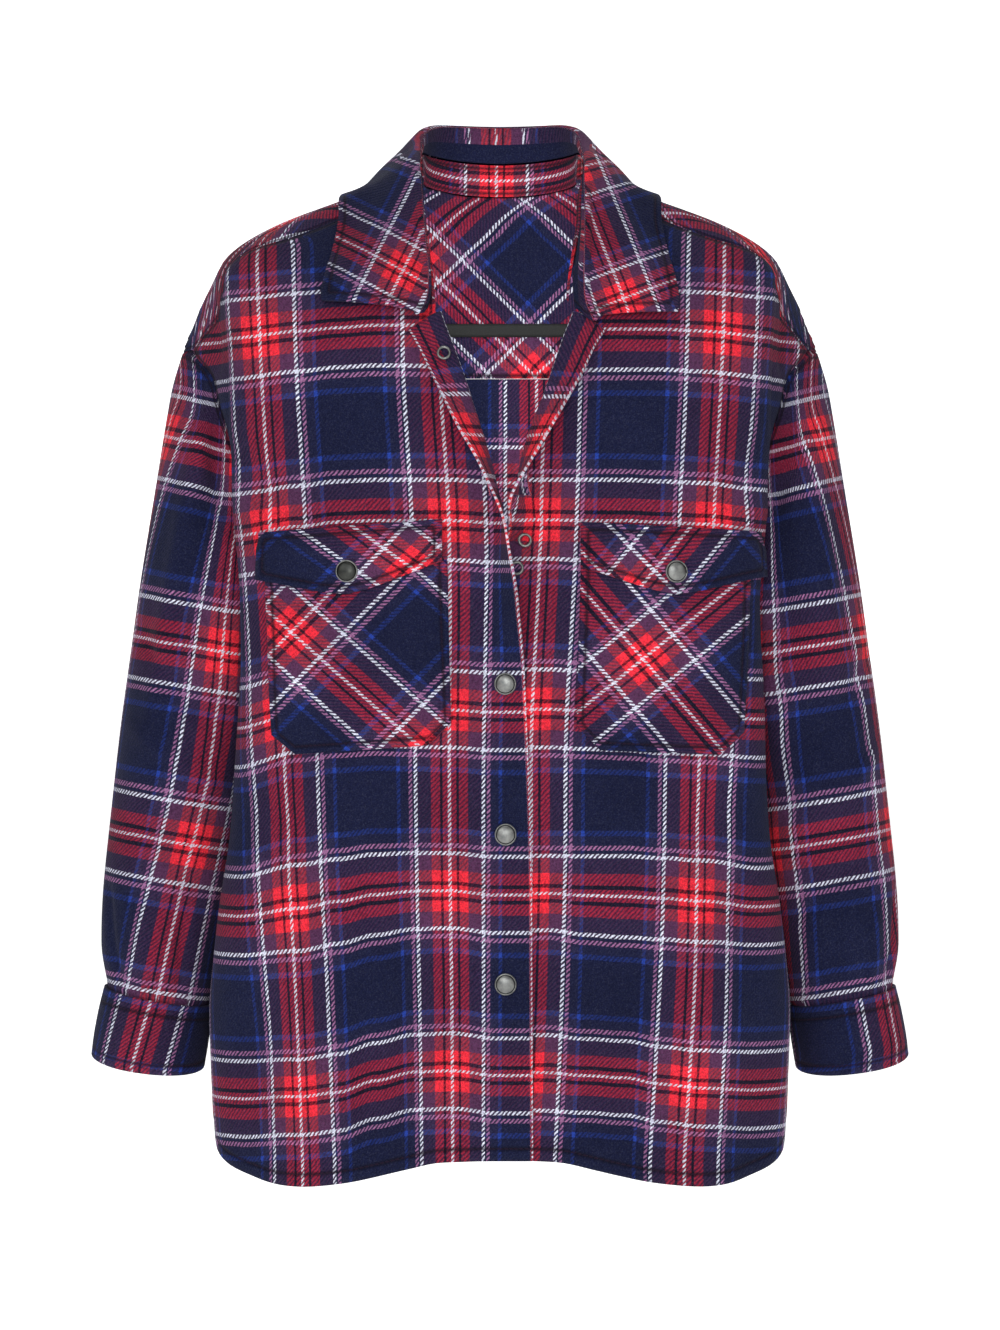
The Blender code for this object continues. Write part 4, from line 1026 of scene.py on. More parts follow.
def front_cloth(side, s, z):
    """Places in the cloth of a front, in the world's left to right and up."""
    marks = smooth(STRIPE_CHART[side], z)
    outer = girth(front_s(marks[..., 0], z), z)
    inner = girth(front_s(marks[..., 1], z), z)
    across = WARP_REPEAT * (girth(s, z) - inner) / (outer - inner)
    x = body_points(s, z)[..., 0]
    table = np.array(CROSS_STRIPES[::-1], float)
    up = np.interp(z + sag(side, x, z), table[:, 0], table[:, 1])
    return np.stack([across * side_sign(side), up], axis=-1)


# %% [markdown]
# The strip and the panel are one cloth, so the strip's plaid goes on from the roll by its own width. The hem
# is sewn along a line a centimetre up, and the yoke seam is sewn down close to its edge.

# %% Make the fronts
ROW_FINENESS = 6
COLUMN_FINENESS = 4
BAND_REACHES = np.concatenate([[30, 28.9, 28.2, 27.4], np.linspace(24.5, 12, 6), np.linspace(10.5, 1.2, 8)])
HEM_INSET = 9.0
# The strip's cloth changes at this height, within this share of a row, and lies this much lower in the plaid
# above it.
BAND_CHANGE_Z = -233.5
BAND_CHANGE_SHARE = 0.08
BAND_CLOTH_DROP = -57.0
# The reach from which the strip's outer edge is set onto the white line as a painted highlight along the
# fold, and how far the change takes.
BAND_EDGE_HIGHLIGHT = (27.6, 0.6)
# Columns over which the roll's exact place fades into the panel.
ROLL_FADE_COLUMNS = 6.0
SEAM_INSET = 2.2


def lifted(side, points, normals, s, z):
    """Adds the folds' lift to a front, or to a layer on it, whose section places are given."""
    return points + normals * body_lift(s, z, points[..., 0] * side_sign(side))[..., None]


def make_front(side):
    places = refine(front_places(side), ROW_FINENESS, COLUMN_FINENESS)
    change = int(np.argmin(np.abs(places[:, 0, 1] - BAND_CHANGE_Z)))
    between = places[change] * (1 - BAND_CHANGE_SHARE) + places[change + 1] * BAND_CHANGE_SHARE
    places = np.insert(places, change + 1, between, axis=0)
    s, z = places[..., 0], places[..., 1]
    first = (NECK_ROWS + 1) * ROW_FINENESS
    exact = front_s(curve(FRONT_EDGE[side], z[first:, 0]), z[first:, 0])
    fade = np.clip(1 - np.arange(s.shape[1]) / ROLL_FADE_COLUMNS, 0, 1)[None]
    s[first:] += (exact - s[first:, 0])[:, None] * fade
    points, normals = front_surface(side, s, z)
    points = lifted(side, points, normals, s, z)
    cloth = front_cloth(side, s, z)
    reach = BAND_REACHES[None]
    band_points, band_normals = band_surface(side, z[:, :1], reach)
    band_cloth = np.repeat(cloth[:, :1], len(BAND_REACHES), axis=1)
    turned = (np.arange(len(z)) <= change)[:, None] * 1.0
    # Painted highlight: below the change, the strip's last columns take the white line, for light caught by
    # the fuzz at the fold.
    at_edge = np.maximum(turned, np.clip((reach - BAND_EDGE_HIGHLIGHT[0]) / BAND_EDGE_HIGHLIGHT[1], 0, 1))
    edge_across = side_sign(side) * (BAND_WIDTH - reach)
    band_across = band_cloth[..., 0] - side_sign(side) * reach
    band_cloth[..., 0] = band_across * (1 - at_edge) + edge_across * at_edge
    band_cloth[..., 1] += BAND_CLOTH_DROP * turned
    panel_line = inset_line(points, HEM_INSET, top=False, left=False, right=False)
    yoke_line = np.maximum(inset_line(points, SEAM_INSET, bottom=False, left=False), -SEAM_INSET)
    line = np.minimum(panel_line, yoke_line)
    line[-3 * ROW_FINENESS:] = panel_line[-3 * ROW_FINENESS:]
    line[: 3 * ROW_FINENESS] = yoke_line[: 3 * ROW_FINENESS]
    band_line = np.repeat(panel_line[:, :1], len(BAND_REACHES), axis=1)
    grid = np.concatenate([band_points, points], axis=1)
    normals = np.concatenate([band_normals, normals], axis=1)
    cloth = np.concatenate([band_cloth, cloth], axis=1)
    line = np.concatenate([band_line, line], axis=1)
    missing = np.zeros(grid.shape[:2], bool)
    missing[: first + 1, : len(BAND_REACHES) + 1] = True
    sew_panel("front_" + side, *place_on_side(side, grid, normals), cloth, line, CLOTH, missing=missing)


for side in ("right", "left"):
    make_front(side)

# %% [markdown]
# The yoke is one bias-cut piece over both shoulders, and the back hangs from it on the straight grain. The
# yoke's cloth is laid out flat from the back seam upwards and over the shoulder, then turned by 45 degrees.

# %% The yoke and the back
YOKE_STEPS_ARMHOLE = 4
YOKE_STEPS_BACK = 9
NECK_AT_TIP = 0.42
BACK_ROWS = (
    -136, -152, -172, -196, -222, -250, -275, -296, -325, -360, -400, -445, -490, -535, -580, -625, -668,
)
BACK_STEPS = 9
DIAMOND_X = 21.8
DIAMOND_Z = -46.6
SLICE_STEP = 6.0
SLICE_CENTRE_DROP = 70.0
SLICE_TURNS = 60
BACK_SEAM_FADE = 30.0
BACK_CLOTH_AT = (-28.0, 215.7)
BACK_CLOTH_DROP = 10.0


def yoke_half():
    """Section places of half the yoke: rows from the neck outwards, columns from the front to the back."""
    first = np.linspace(0, 1, YOKE_STEPS_ARMHOLE + 1)
    corner_s = float(armhole_place(ARMHOLE_BACK, BACK_SEAM_Z))
    back_seam_z = BACK_SEAM_Z + SEAM_GAP / 2
    outer_arm = along([YOKE_SEAM[-1], ARMHOLE_BACK[0], ARMHOLE_BACK[1], (corner_s, back_seam_z)], first)
    back = np.linspace(corner_s, 3.0, YOKE_STEPS_BACK + 1)[1:]
    outer_back = np.column_stack([back, np.full(len(back), back_seam_z)])
    outer = np.vstack([outer_arm, outer_back])
    forward = np.linspace(0, NECK_AT_TIP, YOKE_STEPS_ARMHOLE + 1)
    places = np.concatenate([forward, np.linspace(NECK_AT_TIP, 1, YOKE_STEPS_BACK + 1)[1:]])
    inner = along(NECK_YOKE, places)
    seam_s = seam_places()
    down = ((seam_s - seam_s[0]) / (seam_s[-1] - seam_s[0]))[:, None, None] ** 0.8
    grid = inner[None] * (1 - down) + outer[None] * down
    seam = np.column_stack([seam_s, curve(YOKE_SEAM, seam_s)])
    fade = np.linspace(1, 0, YOKE_STEPS_ARMHOLE + 1)
    for j, keep in enumerate(fade):
        grid[:, j] += (seam - grid[:, 0]) * keep if j else 0
    grid[:, 0] = seam
    return grid


def both_sides(half):
    """A half grid at +X, from its side to the middle, made whole from -X to +X."""
    return np.concatenate([mirror(half), half[:, -2::-1]], axis=1)


def back_half():
    """Section places of half the back: rows from the yoke down, columns from the side to the middle."""
    side_z = np.array(BACK_ROWS, float)
    side_s = np.where(side_z <= UNDERARM_Z, 2.0 + SIDE_GAP, armhole_place(ARMHOLE_BACK, side_z))
    share = np.linspace(0, 1, BACK_STEPS + 1)[None]
    s = side_s[:, None] + (3 - side_s[:, None]) * share
    z = np.repeat(side_z[:, None], BACK_STEPS + 1, axis=1)
    down = ((side_z - side_z[0]) / (side_z[-1] - side_z[0]))[:, None]
    z += (BACK_SEAM_Z - SEAM_GAP / 2 - z[0])[None] * (1 - down) ** 6
    z += (curve(HEM, s[-1]) - z[-1])[None] * down**2
    return np.stack([s, z], axis=-1)


def laid_flat(points):
    """Heights in the yoke's cloth: each upright slice's length over the shoulder, from its low end."""
    x, y, z = (points[..., axis].ravel() for axis in range(3))
    middles = np.arange(0, np.abs(x).max(), SLICE_STEP)
    heights = []
    for middle in middles:
        near = np.abs(np.abs(x) - middle) < SLICE_STEP
        top = z[near].argmax()
        from_y, from_z = y - y[near][top], z - z[near][top] + SLICE_CENTRE_DROP
        angle = np.arctan2(from_z, from_y)
        turns = np.linspace(angle[near].min(), angle[near].max(), SLICE_TURNS)
        radius = np.polyval(np.polyfit(angle[near], np.hypot(from_y, from_z)[near], 5), turns)
        steps = np.hypot(np.diff(radius * np.cos(turns)), np.diff(radius * np.sin(turns)))
        low_z = z[near][top] - SLICE_CENTRE_DROP + radius[0] * math.sin(turns[0])
        heights.append(low_z + np.interp(angle, turns, np.concatenate([[0], np.cumsum(steps)])))
    heights, at = np.array(heights), np.clip(np.abs(x) / SLICE_STEP, 0, len(middles) - 1.001)
    low, index = at.astype(int), np.arange(len(x))
    up = heights[low, index] * (1 - at + low) + heights[low + 1, index] * (at - low)
    return up.reshape(points.shape[:-1])


def bias_cloth(points):
    """Bias-cut places: laid flat from the back seam over the shoulder's bend, then turned by 45 degrees."""
    up = laid_flat(points)
    a, b = (points[..., 0] - DIAMOND_X) * math.sqrt(0.5), (up - DIAMOND_Z) * math.sqrt(0.5)
    return np.stack([a + b + WARP_REPEAT / 2, b - a + WEFT_REPEAT / 2], axis=-1)


def make_yoke():
    half = refine(yoke_half(), 3, 6)
    points = both_sides(body_points(half[..., 0], half[..., 1]))
    normals = both_sides(body_normals(half[..., 0], half[..., 1]))
    sew_panel("yoke", points, normals, bias_cloth(points), inset_line(points, SEAM_INSET, top=False), CLOTH)


def make_back():
    half = refine(back_half(), 8, 6)
    s, z = half[..., 0], half[..., 1]
    points, normals = both_sides(body_points(s, z)), both_sides(body_normals(s, z))
    s, z = (np.concatenate([values, values[:, -2::-1]], axis=1) for values in (s, z))
    seam = np.clip((BACK_SEAM_Z - z) / BACK_SEAM_FADE, 0, 1)
    points = points + normals * (body_lift(s, z, points[..., 0]) * seam)[..., None]
    across = (girth(3.0, z) - girth(s, z)) * np.sign(points[..., 0]) + BACK_CLOTH_AT[0]
    drop = BACK_CLOTH_DROP * np.clip(np.abs(points[..., 0]) / 190.0, 0, 1) ** 2
    cloth = np.stack([across, z + drop + BACK_CLOTH_AT[1]], axis=-1)
    line = inset_line(points, HEM_INSET, top=False, left=False, right=False)
    sew_panel("back", points, normals, cloth, line, CLOTH)


make_yoke()
make_back()

# %% [markdown]
# A sleeve is a tube with its one seam under the arm, so its grid starts and ends there and the two edges are
# merged. Its folds run down the arm, with shorter ones round the elbow and small gathers above the cuff.

# %% The sleeves and cuffs
RING_STEPS = 96
SLEEVE_ROUNDNESS = 2.2
SLEEVE_START = 1.9
UNDERARM_CLEARANCE = 2.4
SLEEVE_ROW_STEPS = 12
ARMHOLE_TUCK = ((6.5, 2.6), (0.9, 0.7))
CUFF_TUCK = (0.0, 0.16)
SLEEVE_RADIUS = 58.0
ARMHOLE_FADE = 40.0
CUFF_FADE = 16.0
SLEEVE_CROSS = (
    (110, 262), (-38, 131), (-185.9, 0), (-333.9, -131), (-476.7, -262), (-618, -393), (-760, -524),
)
SLEEVE_LEAN = ((-100, 0.36), (-230, 0.33), (-330, 0.2), (-480, 0.17), (-620, 0.19))
# Heights and distances from the centre of the stripe charted on a sleeve's front.
SLEEVE_MARK = {
    "right": (
        (-120, 193), (-161, 194.4), (-220, 195.9), (-308, 201.8), (-381, 207.6), (-425, 213.5), (-454, 218.6),
        (-513, 232.5), (-557, 242.8), (-601, 252.3),
    ),
    "left": (
        (-120, 196), (-279, 199.6), (-308, 201), (-352, 203.2), (-374, 206.1), (-410, 208.3), (-447, 212.7),
        (-491, 215.7), (-513, 218.6), (-550, 221.5), (-586, 224.4),
    ),
}
MARK_CLOTH = {"right": 0.0, "left": 24.0}
CUFF_ROWS = 19
CUFF_CLOTH_UP = 25.0
CUFF_INSET = 7.0
CUFF_TOP_INSET = 10.0
CUFF_MARK = {"right": ((-603, 256.7), (-652, 270.6)), "left": ((-594, 283), (-641, 291.8))}
# Folds of a sleeve: turn round it (0 outer, 0.25 front, 0.5 under, 0.75 back) and height at the start and at
# the end, then width and rise.
SLEEVE_FOLDS = {
    "right": (
        (0.20, -165, 0.17, -400, 11, 5), (0.27, -170, 0.25, -360, 12, -4.5),
        (0.34, -210, 0.36, -420, 12, 3.1), (0.10, -330, 0.30, -400, 13, -3.9),
        (0.12, -400, 0.36, -450, 12, 3.4), (0.16, -470, 0.34, -520, 12, -2.8),
        (0.08, -520, 0.14, -592, 8, -3.6), (0.22, -535, 0.22, -594, 7, 2.8),
        (0.30, -530, 0.32, -596, 7, -3.1), (0.78, -180, 0.72, -420, 14, -4.8),
        (0.88, -260, 0.80, -460, 12, 3.6), (0.70, -430, 0.90, -480, 13, -3.4),
        (0.86, -520, 0.84, -594, 8, -3.6), (0.74, -530, 0.72, -598, 8, 3.1),
        (0.62, -480, 0.64, -590, 9, -2.8),
    ),
    "left": (
        (0.17, -170, 0.20, -380, 12, 4.2), (0.29, -180, 0.26, -400, 12, -4.2),
        (0.36, -250, 0.34, -440, 12, 2.8), (0.08, -350, 0.28, -420, 13, -3.6),
        (0.10, -420, 0.34, -480, 12, 3.1), (0.20, -500, 0.36, -545, 11, -2.5),
        (0.05, -525, 0.10, -592, 8, -3.6), (0.16, -540, 0.18, -594, 7, 3.1),
        (0.27, -530, 0.28, -596, 7, -2.8), (0.80, -190, 0.75, -400, 14, -4.5),
        (0.90, -240, 0.84, -440, 12, 3.4), (0.68, -440, 0.88, -500, 13, -3.4),
        (0.84, -520, 0.82, -594, 8, -3.4), (0.72, -530, 0.70, -598, 8, 2.8),
        (0.60, -470, 0.62, -590, 9, -2.8),
    ),
}


def round_power(value, power):
    return np.sign(value) * np.abs(value) ** power


def ring_turn():
    """Turns round a ring, from the seam under the arm round the front and back to the seam."""
    return (0.5 - np.arange(RING_STEPS + 1) / RING_STEPS) % 1.0


def ring(outer_x, outer_z, inner_x, inner_z, front_y, back_y, front_drop=0.0):
    """A closed ring of points: outer point first, then the front, the inner point and the back."""
    angle = ring_turn() * 2 * math.pi
    across = round_power(np.cos(angle), 2 / SLEEVE_ROUNDNESS)[:, None]
    forward = round_power(np.sin(angle), 2 / SLEEVE_ROUNDNESS)
    centre = np.array([(outer_x + inner_x) / 2, SLEEVE_CENTRE_Y, (outer_z + inner_z) / 2])
    half = np.array([(outer_x - inner_x) / 2, 0.0, (outer_z - inner_z) / 2])
    points = centre + across * half
    points[:, 1] -= np.where(forward > 0, front_y, back_y) * forward
    points[:, 2] -= front_drop * forward
    return points


def armhole_ring():
    """The armhole as a closed ring of points of the body, in the same order."""
    s, z = np.transpose([
        along(ARMHOLE_FRONT, 2 * turn) if turn <= 0.5 else along(ARMHOLE_BACK, 2 - 2 * turn)
        for turn in ring_turn()
    ])
    return body_points(s, z), body_normals(s, z)


def sleeve_grid():
    """Rings of middle points from the armhole to the cuff."""
    armhole, outward = armhole_ring()
    turn = ring_turn() * 2 * math.pi
    beside = outward * (UNDERARM_CLEARANCE * (1 - np.cos(turn)) / 2)[:, None]
    rings = []
    for *sizes, follow in SLEEVE:
        free = ring(*sizes)
        shift = free[:-1].mean(axis=0) - armhole[:-1].mean(axis=0)
        rings.append(follow * (armhole + shift) + (1 - follow) * free)
    tangent = unit(np.roll(armhole[:-1], -1, axis=0) - np.roll(armhole[:-1], 1, axis=0))
    tangent = np.vstack([tangent, tangent[:1]])
    rings[0] = armhole + square_to(rings[1] - armhole, tangent) * SLEEVE_START + beside
    rings[1] = rings[1] + beside * 0.6
    return np.array(rings)


CUFF_FOLD_Z = -585.0


def sleeve_rise(side, turn, z, radius):
    """How far the folds of a sleeve lift its cloth."""
    total = np.zeros(z.shape)
    for turn0, z0, turn1, z1, width, rise in SLEEVE_FOLDS[side]:
        down = np.clip((z0 - z) / (z0 - z1), -0.3, 1.3)
        aside = (turn - turn0 - (turn1 - turn0) * down + 0.5) % 1.0 - 0.5
        starts, stops = down + 0.2, 1.15 - down
        ends = np.clip((starts if z1 < CUFF_FOLD_Z else np.minimum(starts, stops)) / 0.4, 0, 1)
        total += rise * ease(ends) * np.exp(-((aside * radius * 2 * math.pi / width) ** 2))
    return total


def tube_cloth(side, grid, mark, cloth_at_mark, up):
    """Places in the cloth round a tube, counted from the stripe charted at 'mark' on its front."""
    around = lengths_along(grid, 1)
    marks = curve(mark, grid[:, RING_STEPS // 4, 2])
    across = np.empty(around.shape)
    front = slice(0, RING_STEPS // 2 + 1)
    for row in range(len(grid)):
        at_mark = np.interp(marks[row], grid[row, front, 0], around[row, front])
        across[row] = cloth_at_mark + around[row] - at_mark
    return np.stack([across * side_sign(side), up], axis=-1)


def cuff_rings(places):
    """Rings of middle points of the cuff, at places from 0 to 1 down it."""
    return along_rows(np.array([ring(*row) for row in CUFF]), np.asarray(places))


def tucked(values):
    """Repeats the first and last rows of a tube twice, for the edges that are turned into its seams."""
    return np.concatenate([values[:1], values[:1], values, values[-1:], values[-1:]])


def make_sleeve(side):
    grid = along_rows(sleeve_grid(), np.linspace(0, 1, (len(SLEEVE) - 1) * SLEEVE_ROW_STEPS + 1))
    normals = tube_normals(grid)
    turn = np.broadcast_to(ring_turn()[None], grid.shape[:2])
    rise = sleeve_rise(side, turn, grid[..., 2], SLEEVE_RADIUS)
    rise *= np.clip(lengths_along(grid, 0) / ARMHOLE_FADE, 0, 1)
    rise *= np.clip((grid[..., 2] - grid[-1, :, 2]) / CUFF_FADE, 0, 1)
    rise[:, -1] = rise[:, 0]
    normals[:, -1] = normals[:, 0]
    leaned = curve(SLEEVE_LEAN, grid[..., 2])
    table = np.array(SLEEVE_CROSS[::-1], float)
    outer_x = grid[..., 0].max(axis=1, keepdims=True)
    up = np.interp(grid[..., 2] + (outer_x - grid[..., 0]) * leaned, table[:, 0], table[:, 1])
    cloth = tube_cloth(side, grid, SLEEVE_MARK[side], MARK_CLOTH[side], up)
    grid = grid + normals * rise[..., None]
    line = inset_line(grid, SEAM_INSET, bottom=False, left=False, right=False)
    run = running_length(grid)
    back = unit(grid[0] - grid[2])
    first = [grid[0] + back * reach - normals[0] * depth for reach, depth in ARMHOLE_TUCK]
    last = cuff_rings(CUFF_TUCK) - normals[-1] * ((CLOTH + DOUBLE_CLOTH) / 2 + SEAM_GAP)
    grid = np.concatenate([first, grid, last])
    cloth, line, run, normals = (tucked(values) for values in (cloth, line, run, normals))
    grid, normals = place_on_side(side, grid, normals)
    sew_panel("sleeve_" + side, grid, normals, cloth, line, CLOTH, run=run, closed=True)


def make_cuff(side):
    grid = cuff_rings(np.linspace(0, 1, CUFF_ROWS))
    down = lengths_along(grid, 0)
    cloth = tube_cloth(side, grid, CUFF_MARK[side], 0.0, CUFF_CLOTH_UP - WEFT_REPEAT / 2 - down)
    line = inset_line(grid, CUFF_INSET, left=False, right=False)
    line = np.where(down < 2 * CUFF_TOP_INSET, down - CUFF_TOP_INSET, line)
    grid, normals = place_on_side(side, grid, tube_normals(grid))
    sew_panel("cuff_" + side, grid, normals, cloth, line, DOUBLE_CLOTH, closed=True)


for side in ("right", "left"):
    make_sleeve(side)
    make_cuff(side)

# %% [markdown]
# The collar is a stand, which rises from the neck seam, and a leaf, which rolls over it and falls to a point
# on each side. Both are worked out station by station round the neck and then made finer.

# %% The collar
COLLAR_STEPS = 15
STAND_CLEARANCE = 2.7
STAND_FOOT = 1.5
STAND_CLOTH_AT = (2.7, -12.0)
STAND_INSET = 2.4
LEAF_CLEARANCE = 4.2
LEAF_ROLL_RADIUS = 3.4
LEAF_START = 1.6
LEAF_START_FRONT = 6.0
LEAF_ROLL_ROW = 2
LEAF_LENGTH_ROW = -20
LEAF_INSET = 6.0
# Rows of the roll that take the straight strip's plaid, and where that strip lies in the cloth.
TOP_STRIP_ROWS = 3
TOP_STRIP_AT = (3.3, 19.0)
TOP_STRIP_STRETCH = 0.3
INNER_LEAF_ROWS = 6
COLLAR_FINENESS = 5
LEAF_FINENESS = 6
LEAF_TURN = 100.0
LEAF_BLEND = (60.0, 80.0)
# The leaf's plaid in the front view: the crossing of two white lines, the two ways' angles and their scales.
LEAF_VIEW = {"right": (70.1, -71.6, 25.0, 29.0, 0.94, 0.75), "left": (89.0, -92.3, 20.0, 21.0, 0.87, 0.80)}


def collar_stations(side):
    """Neck points, then the collar table's roll, edge, swell and stand, from the back centre forward."""
    at = np.linspace(0, 1, COLLAR_STEPS + 1)
    neck_back = along(NECK_YOKE, np.linspace(1, 0, 101))
    neck_places = np.vstack([neck_back, along(NECK_FRONT, np.linspace(0, 1, 61))[1:]])
    neck = by_length(body_points(neck_places[:, 0], neck_places[:, 1]), at)
    values = along(COLLAR[side], at)
    return neck, values[:, :3], values[:, 3:6], values[:, 6], values[:, 7]


def stand_half(side):
    neck, roll, _, _, height = collar_stations(side)
    up = unit(roll - neck)
    share = np.linspace(0, 1, 3)[:, None, None]
    low = neck + up * STAND_FOOT
    open_part = int(0.5 * COLLAR_STEPS)
    low[open_part:] = clear_of_body(low[open_part:], STAND_CLEARANCE - 0.3)
    high = neck + up * height[:, None]
    grid = low[None] * (1 - share) + high[None] * share
    grid[1:] = clear_of_body(grid[1:], STAND_CLEARANCE)
    return grid


def leaf_half(side):
    neck, roll, edge, swell, height = collar_stations(side)
    up = unit(roll - neck)
    out = square_to(edge - roll, up)
    radius = LEAF_ROLL_RADIUS
    forward = np.linspace(-1, 1, len(height)).clip(0)
    start = neck + up * (height + LEAF_START + LEAF_START_FRONT * forward)[:, None]
    roll = roll - up * radius * 0.9
    centre = roll + out * radius
    over = centre + out * radius
    side_way = unit(np.cross(np.gradient(edge, axis=0), edge - over))
    side_way *= np.sign((side_way * (up + out)).sum(-1, keepdims=True))
    top = centre + up * radius - out * radius * 0.25
    profile = [start, (start + roll) / 2, roll, top, over + up * radius * 0.35]
    for t in (0.22, 0.48, 0.74, 1.0):
        profile.append(over * (1 - t) + edge * t + side_way * swell[:, None] * math.sin(math.pi * t))
    profile = np.array(profile)
    profile[4:] = clear_of_body(profile[4:], LEAF_CLEARANCE)
    return profile


def joined_sides(right, left):
    """Two half grids at +X, from the middle to the side, joined from the right end to the left end."""
    return np.concatenate([mirror(right[:, ::-1]), left[:, 1:]], axis=1)


def make_stand():
    coarse = joined_sides(stand_half("right"), stand_half("left"))
    grid = refine(coarse, COLLAR_FINENESS, COLLAR_FINENESS)
    along_neck, height = lengths_along(grid, 1), lengths_along(grid, 0)
    along_neck = along_neck - along_neck[:, grid.shape[1] // 2][:, None] + STAND_CLOTH_AT[0]
    cloth = np.stack([along_neck, height + STAND_CLOTH_AT[1]], axis=-1)
    line = inset_line(grid, STAND_INSET, left=False, right=False)
    sew_panel(
        "collar_stand", grid, grid_normals(grid), cloth, line, DOUBLE_CLOTH, run=along_neck + height,
    )


def leaf_cloth(side, points, down, length):
    """Two cloths of half a leaf at +X: charted from the front view, and laid flat along the strip."""
    view_x, view_z, lean, rise, wide_scale, far_scale = LEAF_VIEW[side]
    lean, rise = math.radians(lean), math.radians(rise)
    x, z = np.abs(points[..., 0]) - view_x, points[..., 2] - view_z
    wide = (x * math.cos(lean) + z * math.sin(lean)) / wide_scale
    far = (x * math.sin(rise) - z * math.cos(rise)) / far_scale
    seen = np.stack([wide, far], axis=-1)
    flat = np.stack([down, np.broadcast_to(length, down.shape)], axis=-1)
    turning = np.abs(length - LEAF_TURN) < 12
    return seen, flat + (seen - flat)[LEAF_ROLL_ROW * COLLAR_FINENESS :, turning].mean(axis=(0, 1))


def make_leaf():
    grid = refine(joined_sides(leaf_half("right"), leaf_half("left")), COLLAR_FINENESS, LEAF_FINENESS)
    middle = grid.shape[1] // 2
    down = lengths_along(grid, 0)
    down = down - down[LEAF_ROLL_ROW * COLLAR_FINENESS][None]
    length = lengths_along(grid, 1)[LEAF_LENGTH_ROW]
    length = length - length[middle]
    cloth = np.empty(grid.shape[:2] + (2,))
    halves = {"right": slice(0, middle), "left": slice(middle, None)}
    cloths = {
        side: leaf_cloth(side, grid[:, part], down[:, part], np.abs(length[part]))
        for side, part in halves.items()
    }
    gap = (cloths["left"][1][:, 0] - cloths["right"][1][:, -1]).mean(axis=0)
    repeats = np.array([0.0, WEFT_REPEAT * round(gap[1] / WEFT_REPEAT)])
    for side, part in halves.items():
        seen, flat = cloths[side]
        away = np.abs(length[part])[None, :, None]
        meet = (gap - repeats) / 2 * (1 if side == "right" else -1)
        flat = flat + meet * np.clip(1 - away / LEAF_TURN, 0, 1) ** 2
        share = ease(np.clip((away - LEAF_BLEND[0]) / LEAF_BLEND[1], 0, 1))
        cloth[:, part] = seen * share + flat * (1 - share) + repeats * (side == "right")
    top_strip = slice(INNER_LEAF_ROWS, LEAF_ROLL_ROW * COLLAR_FINENESS + TOP_STRIP_ROWS)
    cloth[top_strip, :, 0] = length[None] + TOP_STRIP_AT[0]
    cloth[top_strip, :, 1] = TOP_STRIP_AT[1] + TOP_STRIP_STRETCH * down[top_strip]
    sew_panel(
        "collar_leaf", grid, grid_normals(grid), cloth, inset_line(grid, LEAF_INSET, top=False), DOUBLE_CLOTH,
        run=np.abs(length)[None] + down, plain_rows=(0, INNER_LEAF_ROWS),
    )


make_stand()
make_leaf()

# %% [markdown]
# The pockets and flaps are cut on the bias and sewn on top, so they take their points from the front below
# them, moved out. The flap bows away from the pocket, since two thick layers and a snap hold it off.

# %% The pockets and flaps
# For each way of the cloth: a point (x, z) of a charted stripe, its angle and its place in the cloth.
POCKET_BIAS = {
    "right": ((-123.3, -355.5, 41.6, 0.0), (-144.8, -326.8, -45.0, 0.0)),
    "left": ((128.3, -330.3, -39.0, 0.0), (142.7, -351.9, 49.0, 30.0)),
}
FLAP_BIAS = {
    "right": ((-130.4, -270.7, 35.0, -26.0), (-60.7, -287.9, -45.0, 0.0)),
    "left": ((155.6, -274.3, -50.0, 26.0), (81.6, -298.0, 45.0, 0.0)),
}
PATCH_STEPS = 36
FLAP_ROW_STEPS = 16
POCKET_SWELL = 1.4
PATCH_INSET = 5.5
FLAP_SNAP_DOWN = 0.66


def layer_on_front(side, x, z, height):
    """Points and normals on a front at front-view places, 'height' outside its middle surface."""
    s = front_s(x, z)
    points, normals = front_surface(side, s, z)
    return points + normals * np.asarray(height)[..., None], normals


def flap_tip(side):
    """The flap's tip as a share of its width."""
    inner_x, outer_x, *_, tip_x, _ = FLAPS[side]
    return (tip_x - inner_x) / (outer_x - inner_x)


def flap_surface(side, u, v):
    """Middle points and normals of a flap: u from the inner to the outer edge, v from the top down, at +X."""
    inner_x, outer_x, inner_top, outer_top, inner_low, outer_low, _, tip_z = FLAPS[side]
    tip = flap_tip(side)
    top = inner_top + (outer_top - inner_top) * u
    before = inner_low + (tip_z - inner_low) * u / tip
    after = tip_z + (outer_low - tip_z) * (u - tip) / (1 - tip)
    low = np.where(u < tip, before, after) + 2.0 * np.exp(-(((u - tip) / 0.09) ** 2))
    z = top + (low - top) * v
    x = inner_x + (outer_x - inner_x) * u + 0 * v
    rise = np.clip((v * (top - low) - 3.0) / 11.0, 0, 1)
    bow = FLAP_RISE * ease(rise) + FLAP_LEAN * v
    return layer_on_front(side, x, z, CLOTH / 2 + LAYER_GAP + DOUBLE_CLOTH / 2 + bow)


def view_bias(ways, points):
    """Places in bias-cut cloth from the front view: distances from a charted stripe of each way."""
    places = []
    for x, z, angle, at in ways:
        angle = math.radians(angle)
        reach = (points[..., 0] - x) * abs(math.sin(angle))
        rise = (points[..., 2] - z) * math.cos(angle) * np.sign(angle)
        places.append(reach + rise + at)
    return np.stack(places, axis=-1)


